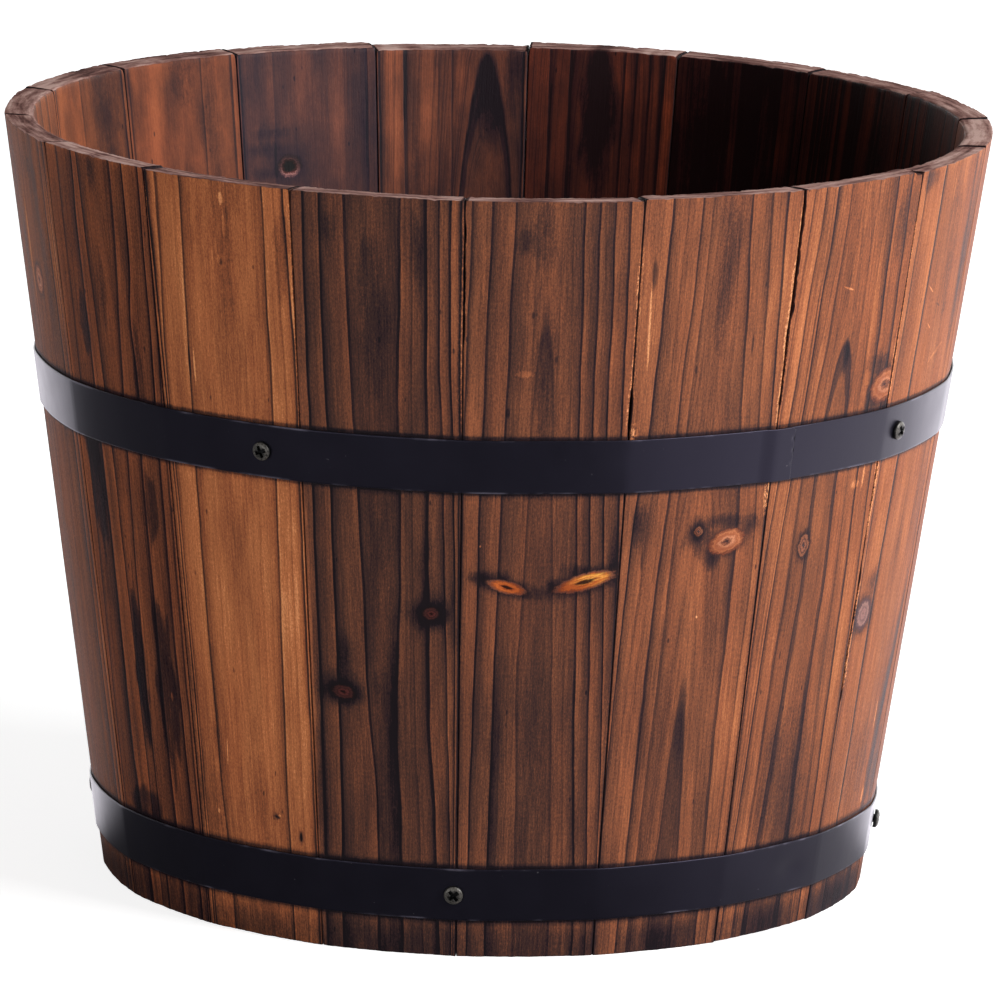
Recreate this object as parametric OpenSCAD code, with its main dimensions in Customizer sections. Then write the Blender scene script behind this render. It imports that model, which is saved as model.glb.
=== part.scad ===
// Round wooden planter built like a small cask: tapered staves stand in a ring round a
// boarded floor, and two steel hoops, screwed to the wood, hold the ring together.
// Millimetres, +Z up. The origin is on the ground at the centre of the ring, the front faces -Y.
// A bearing is an angle seen from above, in degrees from the front towards +X.

/* [Cask] */
// Outer diameter of the ring of staves at the rim
rim_d = 406; // [385:1:430]
// Outer diameter of the ring of staves at the foot
foot_d = 317; // [300:1:335]
// Height of the longest stave
cask_h = 315; // [280:1:350]

/* [Staves] */
// Number of staves in the ring
stave_count = 18; // [14:1:22]
// Thickness of a stave, square to its face
stave_t = 12; // [11:0.5:16]
// Bearing of the first joint between two staves
joint_bearing = -3.5; // [-9:0.5:9]
// Width of the eased corner along a stave's outer edges
outer_ease = 0.8; // [0.4:0.1:1.4]
// Width of the eased corner along a stave's inner edges
inner_ease = 0.6; // [0.4:0.1:1.4]
// Smallest difference in height between two uneven stave ends
trim_step = 0.3; // [0.1:0.1:0.5]

/* [Hoops] */
// Width of the hoop strap
hoop_w = 22; // [16:1:28]
// Thickness of the hoop strap
hoop_t = 0.8; // [0.5:0.1:1.4]
// Height of the middle of the upper hoop
upper_hoop_z = 206; // [170:1:240]
// Height of the middle of the lower hoop
lower_hoop_z = 26.8; // [18:0.2:34]
// Play between a hoop and the staves behind it
hoop_play = 0.1; // [0.05:0.05:0.3]
// Length of the welded lap between the two ends of a hoop
lap_l = 8; // [5:1:14]
// Bearing of the visible strap end on the upper hoop
upper_lap_bearing = 39.3; // [33:0.1:48]
// Bearing of the visible strap end on the lower hoop
lower_lap_bearing = 150; // [125:1:160]

/* [Screws] */
// Number of screws through each hoop
screws_per_hoop = 4; // [3:1:5]
// Bearing of the first screw through the upper hoop
upper_screw_bearing = -29.3; // [-31:0.1:-26]
// Bearing of the first screw through the lower hoop
lower_screw_bearing = -4.3; // [-8:0.1:-2]
// Diameter of a screw's pan head
head_d = 7.7; // [6:0.1:9]
// Height of a screw's pan head
head_h = 2.3; // [1.8:0.1:3]
// Height of the rounded crown within that head
crown_h = 1.1; // [0.6:0.1:1.4]
// Width of one arm of the cross recess
recess_w = 1.1; // [0.8:0.1:1.4]
// Length of the cross recess from tip to tip
recess_l = 4.4; // [3:0.1:5]
// Depth of the cross recess
recess_h = 1.3; // [0.8:0.1:1.6]
// Diameter of a screw's shank
shank_d = 3.5; // [2.8:0.1:3.9]
// Length of a screw under its head, point included
shank_l = 10; // [7:0.5:11]
// Length of a screw's point
point_l = 3; // [2:0.5:4]
// Play of a screw in its pilot hole, on each side and at its point
pilot_play = 0.1; // [0.05:0.05:0.2]
// Diameter of a screw hole through a hoop
hoop_hole_d = 4.4; // [4.2:0.1:5]

/* [Floor] */
// Width of the eased corner along the joints between floor boards
board_ease = 0.6; // [0.3:0.1:1]
// Height of the floor's underside over the ground
floor_z = 38; // [34:1:60]
// Thickness of the floor boards
floor_t = 12; // [9:0.5:16]
// Number of boards in the floor
board_count = 5; // [3:2:7]
// Depth of the groove in the staves that holds the floor
groove_d = 4; // [3:0.25:5]
// Height of that groove
groove_h = 7; // [6:0.25:8]
// Thickness of the floor at its bevelled edge
edge_t = 4; // [3:0.25:5]
// Play between the floor and its groove
floor_play = 0.1; // [0.05:0.05:0.3]
// Diameter of a dowel between two floor boards
dowel_d = 6; // [4:0.5:7]
// Length of a dowel
dowel_l = 30; // [20:1:40]
// Distance between the two dowels of one joint
dowel_pitch = 130; // [110:1:150]
// Play of a dowel in its hole, on each side and at its ends
dowel_play = 0.1; // [0.05:0.05:0.2]
// Diameter of a drain hole
drain_d = 12.7; // [8:0.1:14]
// Distance from one drain hole to the next, along the boards
drain_pitch = 90; // [88:1:100]

/* [Hidden] */
// How many trim steps each stave falls short of the longest one
STAVE_TRIMS = [2, 0, 0, 0, 2, 2, 4, 1, 1, 6, 3, 1, 1, 3, 1, 0, 2, 2];
// Which of the wood tones each stave has
STAVE_TONES = [1, 2, 2, 1, 0, 0, 0, 1, 1, 1, 0, 1, 1, 0, 0, 0, 3, 0];
WOOD_TONES = [[0.20, 0.12, 0.10], [0.32, 0.18, 0.12], [0.46, 0.25, 0.15], [0.58, 0.34, 0.20]];
FLOOR_TONE = [0.36, 0.22, 0.14];
DOWEL_TONE = [0.75, 0.60, 0.42];
STEEL_TONE = [0.11, 0.11, 0.13];
SCREW_TONE = [0.08, 0.08, 0.09];
// Segments of a ring and of a small round
RING_FN = 180;
SMALL_FN = 48;
// How far a cutting shape runs past what it cuts
PAST = 1;
DRAIN_ROWS = [-1, 0, 1];
DOWEL_SIDES = [-1, 1];

slope = atan((rim_d - foot_d) / 2 / cask_h);
stave_angle = 360 / stave_count;
stave_wall = stave_t / cos(slope);
pilot_d = shank_d + 2 * pilot_play;
pilot_l = shank_l - hoop_t - hoop_play + pilot_play;
pilot_half_angle = asin(pilot_d / foot_d);
floor_mid_z = floor_z + floor_t / 2;

// Outer and inner radius of the ring of staves at a height
function outer_r(z) = foot_d / 2 + z * tan(slope);
function inner_r(z) = outer_r(z) - stave_wall;

// The floor's edge stands in the groove, and its bevel passes the groove's lower lip
groove_lip_r = inner_r(floor_mid_z - groove_h / 2);
floor_r = inner_r(floor_mid_z - edge_t / 2) + groove_d - floor_play;
bevel_rate = (groove_h / 2 - floor_play - edge_t / 2) / (floor_r - groove_lip_r);
bevel_l = (floor_t - edge_t) / 2 / bevel_rate;
board_w = 2 * floor_r / board_count;

// Bearing at which stave i begins, and the middle of its width
function stave_start(i) = joint_bearing + i * stave_angle;
function stave_mid(i) = stave_start(i) + stave_angle / 2;
function stave_h(i) = cask_h - trim_step * STAVE_TRIMS[i % len(STAVE_TRIMS)];
function stave_tone(i) = WOOD_TONES[STAVE_TONES[i % len(STAVE_TONES)]];
function screw_bearing(first, k) = first + k * 360 / screws_per_hoop;
// Difference between two bearings, from -180 to 180
function apart(a, b) = (a - b) - 360 * round((a - b) / 360);
function stave_meets(i, bearing) =
    abs(apart(bearing, stave_mid(i))) < stave_angle / 2 + pilot_half_angle;
// Distance from the floor's middle line to the near edge of board i
function board_y(i) = -floor_r + i * board_w;

function stave_name(i) = str("stave_", i < 9 ? "0" : "", i + 1);
function board_name(i) = str("floor_board_", i + 1);

// ---------- staves ----------

// Section of a stave along its length, with the groove for the floor cut into its inner face
module stave_section(h) {
    groove_low = floor_mid_z - groove_h / 2;
    groove_high = floor_mid_z + groove_h / 2;
    polygon([
        [outer_r(0), 0],
        [outer_r(h), h],
        [inner_r(h), h],
        [inner_r(groove_high), groove_high],
        [inner_r(groove_high) + groove_d, groove_high],
        [inner_r(groove_low) + groove_d, groove_low],
        [inner_r(groove_low), groove_low],
        [inner_r(0), 0]
    ]);
}

// Square bar set on a corner that leans with the stave, to take that corner off
module corner_bar(turn, foot_r, ease) {
    side = ease * sqrt(2);
    rotate([0, 0, turn])
        translate([foot_r, 0, 0])
            rotate([0, slope, 0])
                rotate([0, 0, 45])
                    cube([side, side, 3 * cask_h], center = true);
}

// A stave is shaped with its first edge on +X, and then turned to its place in the ring
module stave(i) {
    color(stave_tone(i))
        rotate([0, 0, stave_start(i) - 90])
            difference() {
                rotate_extrude(angle = stave_angle, $fn = RING_FN)
                    stave_section(stave_h(i));
                for (turn = [0, stave_angle]) {
                    corner_bar(turn, outer_r(0), outer_ease);
                    corner_bar(turn, inner_r(0), inner_ease);
                }
                pilot_holes(i, upper_screw_bearing, upper_hoop_z);
                pilot_holes(i, lower_screw_bearing, lower_hoop_z);
            }
}

// ---------- hoops and their screws ----------

// Puts its child on the staves' outer face, +Z outwards and square to it, at a turn from +X
module on_face(turn, z) {
    rotate([0, 0, turn])
        translate([outer_r(z), 0, z])
            rotate([0, 90 + slope, 0])
                children();
}

// The pilot holes of one row of screws, as far as they reach stave i
module pilot_holes(i, first, z) {
    for (k = [0 : screws_per_hoop - 1])
        if (stave_meets(i, screw_bearing(first, k)))
            on_face(screw_bearing(first, k) - stave_start(i), z)
                translate([0, 0, -pilot_l])
                    cylinder(h = pilot_l + PAST, d = pilot_d, $fn = SMALL_FN);
}

// Section of the strap where it lies along the staves, one or two layers thick
module strap_section(z, layers) {
    translate([outer_r(z) + hoop_play, z])
        rotate(-slope)
            translate([0, -hoop_w / 2])
                square([layers * hoop_t, hoop_w]);
}

// A closed strap, doubled where its two ends lap, with a hole for each screw
module hoop(z, lap_bearing, first_screw) {
    lap_angle = lap_l / outer_r(z) * 180 / PI;
    color(STEEL_TONE)
        difference() {
            union() {
                rotate_extrude($fn = RING_FN)
                    strap_section(z, 1);
                rotate([0, 0, lap_bearing - lap_angle - 90])
                    rotate_extrude(angle = lap_angle, $fn = RING_FN)
                        strap_section(z, 2);
            }
            for (k = [0 : screws_per_hoop - 1])
                on_face(screw_bearing(first_screw, k) - 90, z)
                    translate([0, 0, -PAST])
                        cylinder(h = hoop_t + hoop_play + 2 * PAST, d = hoop_hole_d, $fn = SMALL_FN);
        }
}

// Pan head with a cross recess, seated on its own underside at z = 0
module pan_head() {
    dome_r = (pow(head_d / 2, 2) + pow(crown_h, 2)) / 2 / crown_h;
    difference() {
        intersection() {
            cylinder(h = head_h, d = head_d, $fn = SMALL_FN);
            translate([0, 0, head_h - dome_r])
                sphere(r = dome_r, $fn = 2 * RING_FN);
        }
        for (turn = [0, 90])
            rotate([0, 0, turn])
                translate([-recess_l / 2, -recess_w / 2, head_h - recess_h])
                    cube([recess_l, recess_w, recess_h + PAST]);
    }
}

module screw() {
    pan_head();
    translate([0, 0, point_l - shank_l])
        cylinder(h = shank_l - point_l, d = shank_d, $fn = SMALL_FN);
    translate([0, 0, -shank_l])
        cylinder(h = point_l, d1 = 0, d2 = shank_d, $fn = SMALL_FN);
}

module hoop_screws(z, first) {
    color(SCREW_TONE)
        for (k = [0 : screws_per_hoop - 1])
            on_face(screw_bearing(first, k) - 90, z)
                translate([0, 0, hoop_play + hoop_t])
                    screw();
}

// ---------- floor ----------

// The whole round floor, bevelled on both faces towards its edge
module floor_disc() {
    translate([0, 0, floor_mid_z])
        rotate_extrude($fn = RING_FN)
            polygon([
                [0, -floor_t / 2],
                [floor_r - bevel_l, -floor_t / 2],
                [floor_r, -edge_t / 2],
                [floor_r, edge_t / 2],
                [floor_r - bevel_l, floor_t / 2],
                [0, floor_t / 2]
            ]);
}

// The dowels of one joint between two boards, or their holes where play is added
module dowel_pair(joint_y, play) {
    for (side = DOWEL_SIDES)
        translate([side * dowel_pitch / 2, joint_y, floor_mid_z])
            rotate([90, 0, 0])
                cylinder(h = dowel_l + 2 * play, d = dowel_d + 2 * play, center = true, $fn = SMALL_FN);
}

// Square bar set on a corner that runs along a joint, to ease the boards' edges there
module joint_bar(joint_y) {
    side = board_ease * sqrt(2);
    for (z = [floor_z, floor_z + floor_t])
        translate([0, joint_y, z])
            rotate([45, 0, 0])
                cube([2 * rim_d, side, side], center = true);
}

module drain_hole(row) {
    translate([row * drain_pitch, row * board_w, floor_z - PAST])
        cylinder(h = floor_t + 2 * PAST, d = drain_d, $fn = SMALL_FN);
}

module floor_board(i) {
    row = i - (board_count - 1) / 2;
    color(FLOOR_TONE)
        difference() {
            intersection() {
                floor_disc();
                translate([-floor_r - PAST, board_y(i), floor_z - PAST])
                    cube([2 * (floor_r + PAST), board_w, floor_t + 2 * PAST]);
            }
            if (i > 0) {
                dowel_pair(board_y(i), dowel_play);
                joint_bar(board_y(i));
            }
            if (i < board_count - 1) {
                dowel_pair(board_y(i + 1), dowel_play);
                joint_bar(board_y(i + 1));
            }
            if (len(search(row, DRAIN_ROWS)) > 0)
                drain_hole(row);
        }
}

module floor_dowels() {
    color(DOWEL_TONE)
        for (i = [1 : board_count - 1])
            dowel_pair(board_y(i), 0);
}

// ---------- pieces ----------

for (i = [0 : stave_count - 1])
    stave(i);
for (i = [0 : board_count - 1])
    floor_board(i);
floor_dowels();
hoop(upper_hoop_z, upper_lap_bearing, upper_screw_bearing);  // upper_hoop
hoop(lower_hoop_z, lower_lap_bearing, lower_screw_bearing);  // lower_hoop
hoop_screws(upper_hoop_z, upper_screw_bearing);  // upper_hoop_screws
hoop_screws(lower_hoop_z, lower_screw_bearing);  // lower_hoop_screws
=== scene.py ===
"""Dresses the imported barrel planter: charred fir staves, painted steel hoops, black pan head screws.

Lengths of the cooper's work are in millimetres, as on its drawings, and become metres where a mesh is
written. A bearing is an angle round the planter in degrees, 0 at the front (-Y) and growing towards
+X. "Across" is a place over a stave's width, from -HALF_FACE at its left edge to +HALF_FACE at its
right edge as seen from outside, at every height.
"""

import logging
import math
from dataclasses import dataclass, field, replace
from enum import Enum

import bpy
import numpy as np
from mathutils import Matrix, Vector


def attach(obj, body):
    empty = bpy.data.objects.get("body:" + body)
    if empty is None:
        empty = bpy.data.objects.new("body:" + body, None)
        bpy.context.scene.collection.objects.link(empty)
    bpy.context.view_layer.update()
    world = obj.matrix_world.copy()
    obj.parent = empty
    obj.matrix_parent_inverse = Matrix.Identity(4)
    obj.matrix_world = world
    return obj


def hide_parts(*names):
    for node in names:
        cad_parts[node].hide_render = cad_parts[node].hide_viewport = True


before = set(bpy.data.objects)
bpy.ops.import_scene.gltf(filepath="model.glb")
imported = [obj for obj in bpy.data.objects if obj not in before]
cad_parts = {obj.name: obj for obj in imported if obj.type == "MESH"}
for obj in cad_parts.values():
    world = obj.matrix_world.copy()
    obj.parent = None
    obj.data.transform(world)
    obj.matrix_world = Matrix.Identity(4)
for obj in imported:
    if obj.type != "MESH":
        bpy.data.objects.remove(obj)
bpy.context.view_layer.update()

log = logging.getLogger("planter")

Array = np.ndarray
Socket = bpy.types.NodeSocket
Colour = tuple[float, float, float, float]
Triple = tuple[float, float, float]
Stops = tuple[tuple[float, int, int, int], ...]

MM = 0.001
HALF_FACE = 31.5
# heights in mm at which the way of a growth line gives its places across
LINE_HEIGHTS = (308, 290, 270, 250, 221, 188, 150, 110, 70, 8)
# middle and half width in degrees of the place where a hoop hangs down
SAG_BEARING = 95.0
SAG_REACH = 22.0
BODY = "root"


# ---------- plain arithmetic ----------


def lattice_noise(u: Array, v: Array, seed: int) -> Array:
    """Smooth noise from -1 to 1: a random height at each whole (u, v), blended with 3t^2 - 2t^3.

    Args:
        u: First coordinate, one cell per unit.
        v: Second coordinate, of a shape that broadcasts with u.
        seed: Number that picks the heights.

    Returns:
        The noise, in the broadcast shape of u and v.
    """
    u, v = np.broadcast_arrays(np.asarray(u, float), np.asarray(v, float))
    cell_u = np.floor(u).astype(np.int64)
    cell_v = np.floor(v).astype(np.int64)
    share_u = u - cell_u
    share_v = v - cell_v
    blend_u = share_u * share_u * (3 - 2 * share_u)
    blend_v = share_v * share_v * (3 - 2 * share_v)

    def height(a: Array, b: Array) -> Array:
        """A random height from -1 to 1 for each pair of whole numbers, by mixing their bits."""
        mixed = (a * 374761393 + b * 668265263 + seed * 974711) & 0xFFFFFFFF
        mixed = ((mixed ^ (mixed >> 13)) * 1274126177) & 0xFFFFFFFF
        return ((mixed ^ (mixed >> 16)) & 0xFFFF) / 32767.5 - 1.0

    low = height(cell_u, cell_v) * (1 - blend_u) + height(cell_u + 1, cell_v) * blend_u
    high = height(cell_u, cell_v + 1) * (1 - blend_u) + height(cell_u + 1, cell_v + 1) * blend_u
    return low * (1 - blend_v) + high * blend_v


def ease(low: float, high: float, x: Array) -> Array:
    """0 below low, 1 above high, and 3t^2 - 2t^3 between them."""
    t = np.clip((np.asarray(x, float) - low) / (high - low), 0, 1)
    return t * t * (3 - 2 * t)


def srgb(red: float, green: float, blue: float) -> Colour:
    """The linear colour of a shader socket for a colour as a screen writes it, 0 to 255."""
    shares = np.array([red, green, blue], float) / 255
    linear = np.where(shares <= 0.04045, shares / 12.92, ((shares + 0.055) / 1.055) ** 2.4)
    return (*(float(share) for share in linear), 1.0)


def each(kind: type, *rows: tuple) -> tuple:
    """One thing of a kind for each row of its values."""
    return tuple(kind(*row) for row in rows)


# ---------- the planter's sizes ----------


@dataclass(frozen=True)
class Cask:
    """Sizes of the ring of staves, in millimetres and degrees, as in the part's source."""

    foot_radius: float = 158.5
    flare: float = 44.5 / 315
    height: float = 315.0
    wall: float = 12.12
    count: int = 18
    first_bearing: float = -3.5
    face_flat: float = 0.7
    trim_step: float = 0.3

    @property
    def span(self) -> float:
        """Degrees that one stave covers."""
        return 360 / self.count

    @property
    def lean(self) -> float:
        """Angle between a stave and the upright, in radians."""
        return math.atan(self.flare)

    def outer(self, z: Array) -> Array:
        """Radius of the outer cone at height z."""
        return self.foot_radius + self.flare * z

    def face_width(self, z: Array) -> Array:
        """Width of a stave's outer face at height z, along the arc."""
        return self.outer(z) * math.radians(self.span)

    def middle(self, index: int) -> float:
        """Bearing of the middle of stave number index, counted from 0."""
        return self.first_bearing + (index + 0.5) * self.span


CASK = Cask()


def ring_points(bearing: Array, radius: Array, z: Array) -> Array:
    """Points in metres: x = r sin(b), y = -r cos(b), z.

    Args:
        bearing: Bearings in degrees.
        radius: Radii in millimetres.
        z: Heights in millimetres.

    Returns:
        An array with a last axis of 3.
    """
    turn = np.radians(bearing)
    return np.stack([radius * np.sin(turn), -radius * np.cos(turn), z + 0 * radius], axis=-1) * MM


# ---------- surfaces ----------


@dataclass
class Surface:
    """A mesh as arrays: points in metres, four-cornered faces and values kept per point."""

    points: Array
    faces: Array
    values: dict[str, Array] = field(default_factory=dict)

    def volume(self) -> float:
        """Signed volume: the sum over triangles of a . (b x c) / 6, positive if faces look outward."""
        a, b, c, d = (self.points[self.faces[:, k]] for k in range(4))
        first = np.einsum("ij,ij->i", a, np.cross(b, c)).sum()
        second = np.einsum("ij,ij->i", a, np.cross(c, d)).sum()
        return float(first + second) / 6

    def joined(self, other: "Surface") -> "Surface":
        """Both surfaces as one, each keeping its own points."""
        values = {name: np.concatenate([here, other.values[name]]) for name, here in self.values.items()}
        points = np.concatenate([self.points, other.points])
        return Surface(points, np.concatenate([self.faces, other.faces + len(self.points)]), values)

    def outward(self) -> "Surface":
        """The same surface with its faces looking outward."""
        faces = self.faces if self.volume() > 0 else self.faces[:, ::-1].copy()
        return Surface(self.points, faces, self.values)

    def to_object(self, name: str, material: bpy.types.Material) -> bpy.types.Object:
        """Writes the arrays into a smooth mesh object that rides on the planter's body.

        Args:
            name: Name of the piece.
            material: Its finish.

        Returns:
            The new object.
        """
        mesh = bpy.data.meshes.new(name)
        corner_count = self.faces.size
        mesh.vertices.add(len(self.points))
        mesh.vertices.foreach_set("co", self.points.astype(np.float32).ravel())
        mesh.loops.add(corner_count)
        mesh.loops.foreach_set("vertex_index", self.faces.astype(np.int32).ravel())
        mesh.polygons.add(len(self.faces))
        mesh.polygons.foreach_set("loop_start", np.arange(0, corner_count, 4, dtype=np.int32))
        mesh.polygons.foreach_set("use_smooth", np.ones(len(self.faces), bool))
        for key, value in self.values.items():
            layer = mesh.attributes.new(key, "FLOAT_VECTOR", "POINT")
            layer.data.foreach_set("vector", value.astype(np.float32).ravel())
        mesh.update(calc_edges=True)
        mesh.validate()
        mesh.materials.append(material)
        piece = bpy.data.objects.new(name, mesh)
        bpy.context.scene.collection.objects.link(piece)
        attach(piece, BODY)
        return piece


def tube_faces(rows: int, around: int) -> Array:
    """Faces of a closed tube whose points are numbered row by row, around points to a row."""
    row = np.arange(rows - 1)[:, None] * around
    here = row + np.arange(around)[None, :]
    there = row + (np.arange(around)[None, :] + 1) % around
    return np.stack([here, there, around + there, around + here], -1).reshape(-1, 4)


def sheet_faces(numbers: Array) -> Array:
    """Faces of a sheet, from the numbers of its points laid out in rows and columns."""
    corners = [numbers[:-1, :-1], numbers[:-1, 1:], numbers[1:, 1:], numbers[1:, :-1]]
    return np.stack(corners, -1).reshape(-1, 4)


# ---------- shader sheets ----------


@dataclass(frozen=True, eq=False)
class Value:
    """What a node gives: a number, vector or colour. Arithmetic on it lays Math nodes in its sheet."""

    sheet: "Sheet"
    socket: Socket

    def __add__(self, other: object) -> "Value":
        """The sum."""
        return self.sheet.calc("ADD", self, other)

    def __sub__(self, other: object) -> "Value":
        """The difference."""
        return self.sheet.calc("SUBTRACT", self, other)

    def __rsub__(self, other: object) -> "Value":
        """A plain number less this value."""
        return self.sheet.calc("SUBTRACT", other, self)

    def __mul__(self, other: object) -> "Value":
        """The product."""
        return self.sheet.calc("MULTIPLY", self, other)

    def __truediv__(self, other: object) -> "Value":
        """The quotient."""
        return self.sheet.calc("DIVIDE", self, other)

    def __pow__(self, power: float) -> "Value":
        """The power."""
        return self.sheet.calc("POWER", self, power)

    def __abs__(self) -> "Value":
        """The size without its sign."""
        return self.sheet.calc("ABSOLUTE", self)

    __radd__ = __add__
    __rmul__ = __mul__

    def most(self, other: object) -> "Value":
        """The greater of the two."""
        return self.sheet.calc("MAXIMUM", self, other)

    def least(self, other: object) -> "Value":
        """The lesser of the two."""
        return self.sheet.calc("MINIMUM", self, other)

    def clamped(self) -> "Value":
        """The same value, held between 0 and 1 by its own Math node."""
        self.socket.node.use_clamp = True
        return self

    def centred(self, size: float) -> "Value":
        """A noise that ran around 0.5, now around 0 and multiplied by size."""
        return (self - 0.5) * size

    def step(self, low: float, high: float, start: float = 0.0, end: float = 1.0) -> "Value":
        """A smooth step of this value from low to high, between the heights start and end."""
        inputs = {"Value": self, "From Min": low, "From Max": high, "To Min": start, "To Max": end}
        return self.sheet.lay("MapRange", inputs, interpolation_type="SMOOTHSTEP")

    def split(self) -> list["Value"]:
        """The three numbers of a vector."""
        node = self.sheet.node("SeparateXYZ", {0: self})
        return [Value(self.sheet, output) for output in node.outputs]

    def shifted(self, by: Triple) -> "Value":
        """The vector moved by a fixed amount."""
        return self.sheet.lay("VectorMath", {0: self, 1: by}, operation="ADD")

    def stretched(self, factors: Triple) -> "Value":
        """The vector with each number multiplied by its factor."""
        return self.sheet.lay("VectorMath", {0: self, 1: factors}, operation="MULTIPLY")

    def length(self) -> "Value":
        """Length of the vector."""
        return self.sheet.lay("VectorMath", {0: self}, "Value", operation="LENGTH")

    def seen_from(self, spot: "Knot | Mark") -> "Value":
        """The vector as seen from a spot: moved to it, turned about Y, and measured in its half sizes."""
        turn = (0, math.radians(spot.tilt), 0)
        inputs = {"Location": (spot.x, 0, spot.z), "Rotation": turn, "Scale": (spot.half_x, 1, spot.half_z)}
        return self.sheet.lay("Mapping", {"Vector": self} | inputs, vector_type="TEXTURE")

    def noise(self, scale: float | Triple, detail: float, rough: float, warp: float = 0.0) -> "Value":
        """Noise around 0.5 at this vector, at one scale, or with one factor for each of its numbers."""
        if isinstance(scale, tuple):
            return self.stretched(scale).noise(1.0, detail, rough, warp)
        inputs = {"Vector": self, "Scale": scale, "Detail": detail, "Roughness": rough, "Distortion": warp}
        return self.sheet.lay("TexNoise", inputs)

    def ramp(self, stops: Stops) -> "Value":
        """The colour of a ramp at this value; a stop is its place and its screen colour."""
        node = self.sheet.node("ValToRGB", {0: self})
        elements = node.color_ramp.elements
        while len(elements) < len(stops):
            elements.new(0.5)
        for element, (position, *colour) in zip(elements, stops):
            element.position = position
            element.color = srgb(*colour)
        return Value(self.sheet, node.outputs[0])

    def blend(self, a: object, b: object) -> "Value":
        """Two colours mixed, with this value as the share of b."""
        return self.sheet.lay("Mix", {0: self, 6: a, 7: b}, 2, data_type="RGBA")

    def tinted(self, tint: Triple) -> "Value":
        """The colour multiplied by a tint."""
        inputs = {0: 1.0, 6: self, 7: (*tint, 1.0)}
        return self.sheet.lay("Mix", inputs, 2, data_type="RGBA", blend_type="MULTIPLY")

    def curve(self, heights: Array) -> "Value":
        """A curve through evenly spaced heights, read at this value from 0 to 1."""
        node = self.sheet.node("FloatCurve", {"Value": self})
        line = node.mapping.curves[0]
        while len(line.points) < len(heights):
            line.points.new(0.5, 0.5)
        for point, place, height in zip(line.points, np.linspace(0, 1, len(heights)), heights):
            point.location = (float(place), float(height))
            point.handle_type = "VECTOR"
        node.mapping.update()
        return Value(self.sheet, node.outputs[0])

    def bump(self, strength: float, depth: float) -> "Value":
        """A normal bent by this height, which counts in steps of depth metres."""
        return self.sheet.lay("Bump", {"Strength": strength, "Distance": depth, "Height": self})


class Sheet:
    """The node tree of a material or world, with short calls that lay a node and wire its inputs."""

    def __init__(self, data: bpy.types.Material | bpy.types.World, output: str = "OutputMaterial") -> None:
        """Empties the tree of a material or world, and lays its output node."""
        data.use_nodes = True
        self.data = data
        self.tree = data.node_tree
        self.tree.nodes.clear()
        self.out = self.node(output, {})

    def wire(self, socket: Socket, source: object) -> None:
        """Links a value to a socket, and sets anything else as the socket's own value."""
        if isinstance(source, Value):
            self.tree.links.new(source.socket, socket)
        else:
            socket.default_value = source

    def node(self, kind: str, inputs: dict[int | str, object], **settings: str) -> bpy.types.Node:
        """Lays a node with its settings, and wires its inputs by number or name."""
        node = self.tree.nodes.new("ShaderNode" + kind)
        for key, setting in settings.items():
            setattr(node, key, setting)
        for key, source in inputs.items():
            self.wire(node.inputs[key], source)
        return node

    def lay(self, kind: str, inputs: dict[int | str, object], out: int | str = 0, **settings: str) -> Value:
        """Lays a node as node() does, and gives one of its outputs."""
        return Value(self, self.node(kind, inputs, **settings).outputs[out])

    def calc(self, operation: str, a: object, b: object = 0.0) -> Value:
        """One Math node."""
        return self.lay("Math", {0: a, 1: b}, operation=operation)

    def attribute(self, name: str) -> Value:
        """The vector that the mesh keeps under that name."""
        return self.lay("Attribute", {}, "Vector", attribute_name=name)

    def place(self) -> Value:
        """Object coordinates, in metres."""
        return self.lay("TexCoord", {}, "Object")

    def join(self, x: object, y: object, z: object) -> Value:
        """A vector of three numbers."""
        return self.lay("CombineXYZ", {0: x, 1: y, 2: z})

    def glow(self, strength: object, colour: Colour = (1, 1, 1, 1)) -> Value:
        """An emission shader."""
        return self.lay("Emission", {"Color": colour, "Strength": strength})

    def shader(self, **inputs: object) -> Value:
        """A Principled shader, its inputs named with _ for a space."""
        named = {key.replace("_", " "): source for key, source in inputs.items()}
        return self.lay("BsdfPrincipled", named)

    def ray(self, kind: str) -> Value:
        """1 for rays of a kind, as the Light Path node names it, and 0 for others."""
        return self.lay("LightPath", {}, f"Is {kind} Ray")

    def seen(self) -> Value:
        """1 for rays that go to the eye, also through glass, and 0 for others."""
        return self.ray("Camera").most(self.ray("Transmission"))

    def end(self, shader: Value) -> None:
        """Ends the sheet in a shader."""
        self.wire(self.out.inputs[0], shader)

    def finish(self, **inputs: object) -> bpy.types.Material:
        """Ends the sheet in a Principled shader, and gives the material."""
        self.end(self.shader(**inputs))
        return self.data


# ---------- what one stave's wood looks like ----------


@dataclass(frozen=True)
class Growth:
    """A dark growth line: its lane, its width, how dark it is, how far it fades, and its way.

    It fades towards the pith, or away from it if fade is negative. The way gives its place across at
    LINE_HEIGHTS; without one it keeps its lane between its neighbours.
    """

    at: float
    width: float
    dark: float
    fade: float = 1.0
    way: tuple[float, ...] = ()


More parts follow.
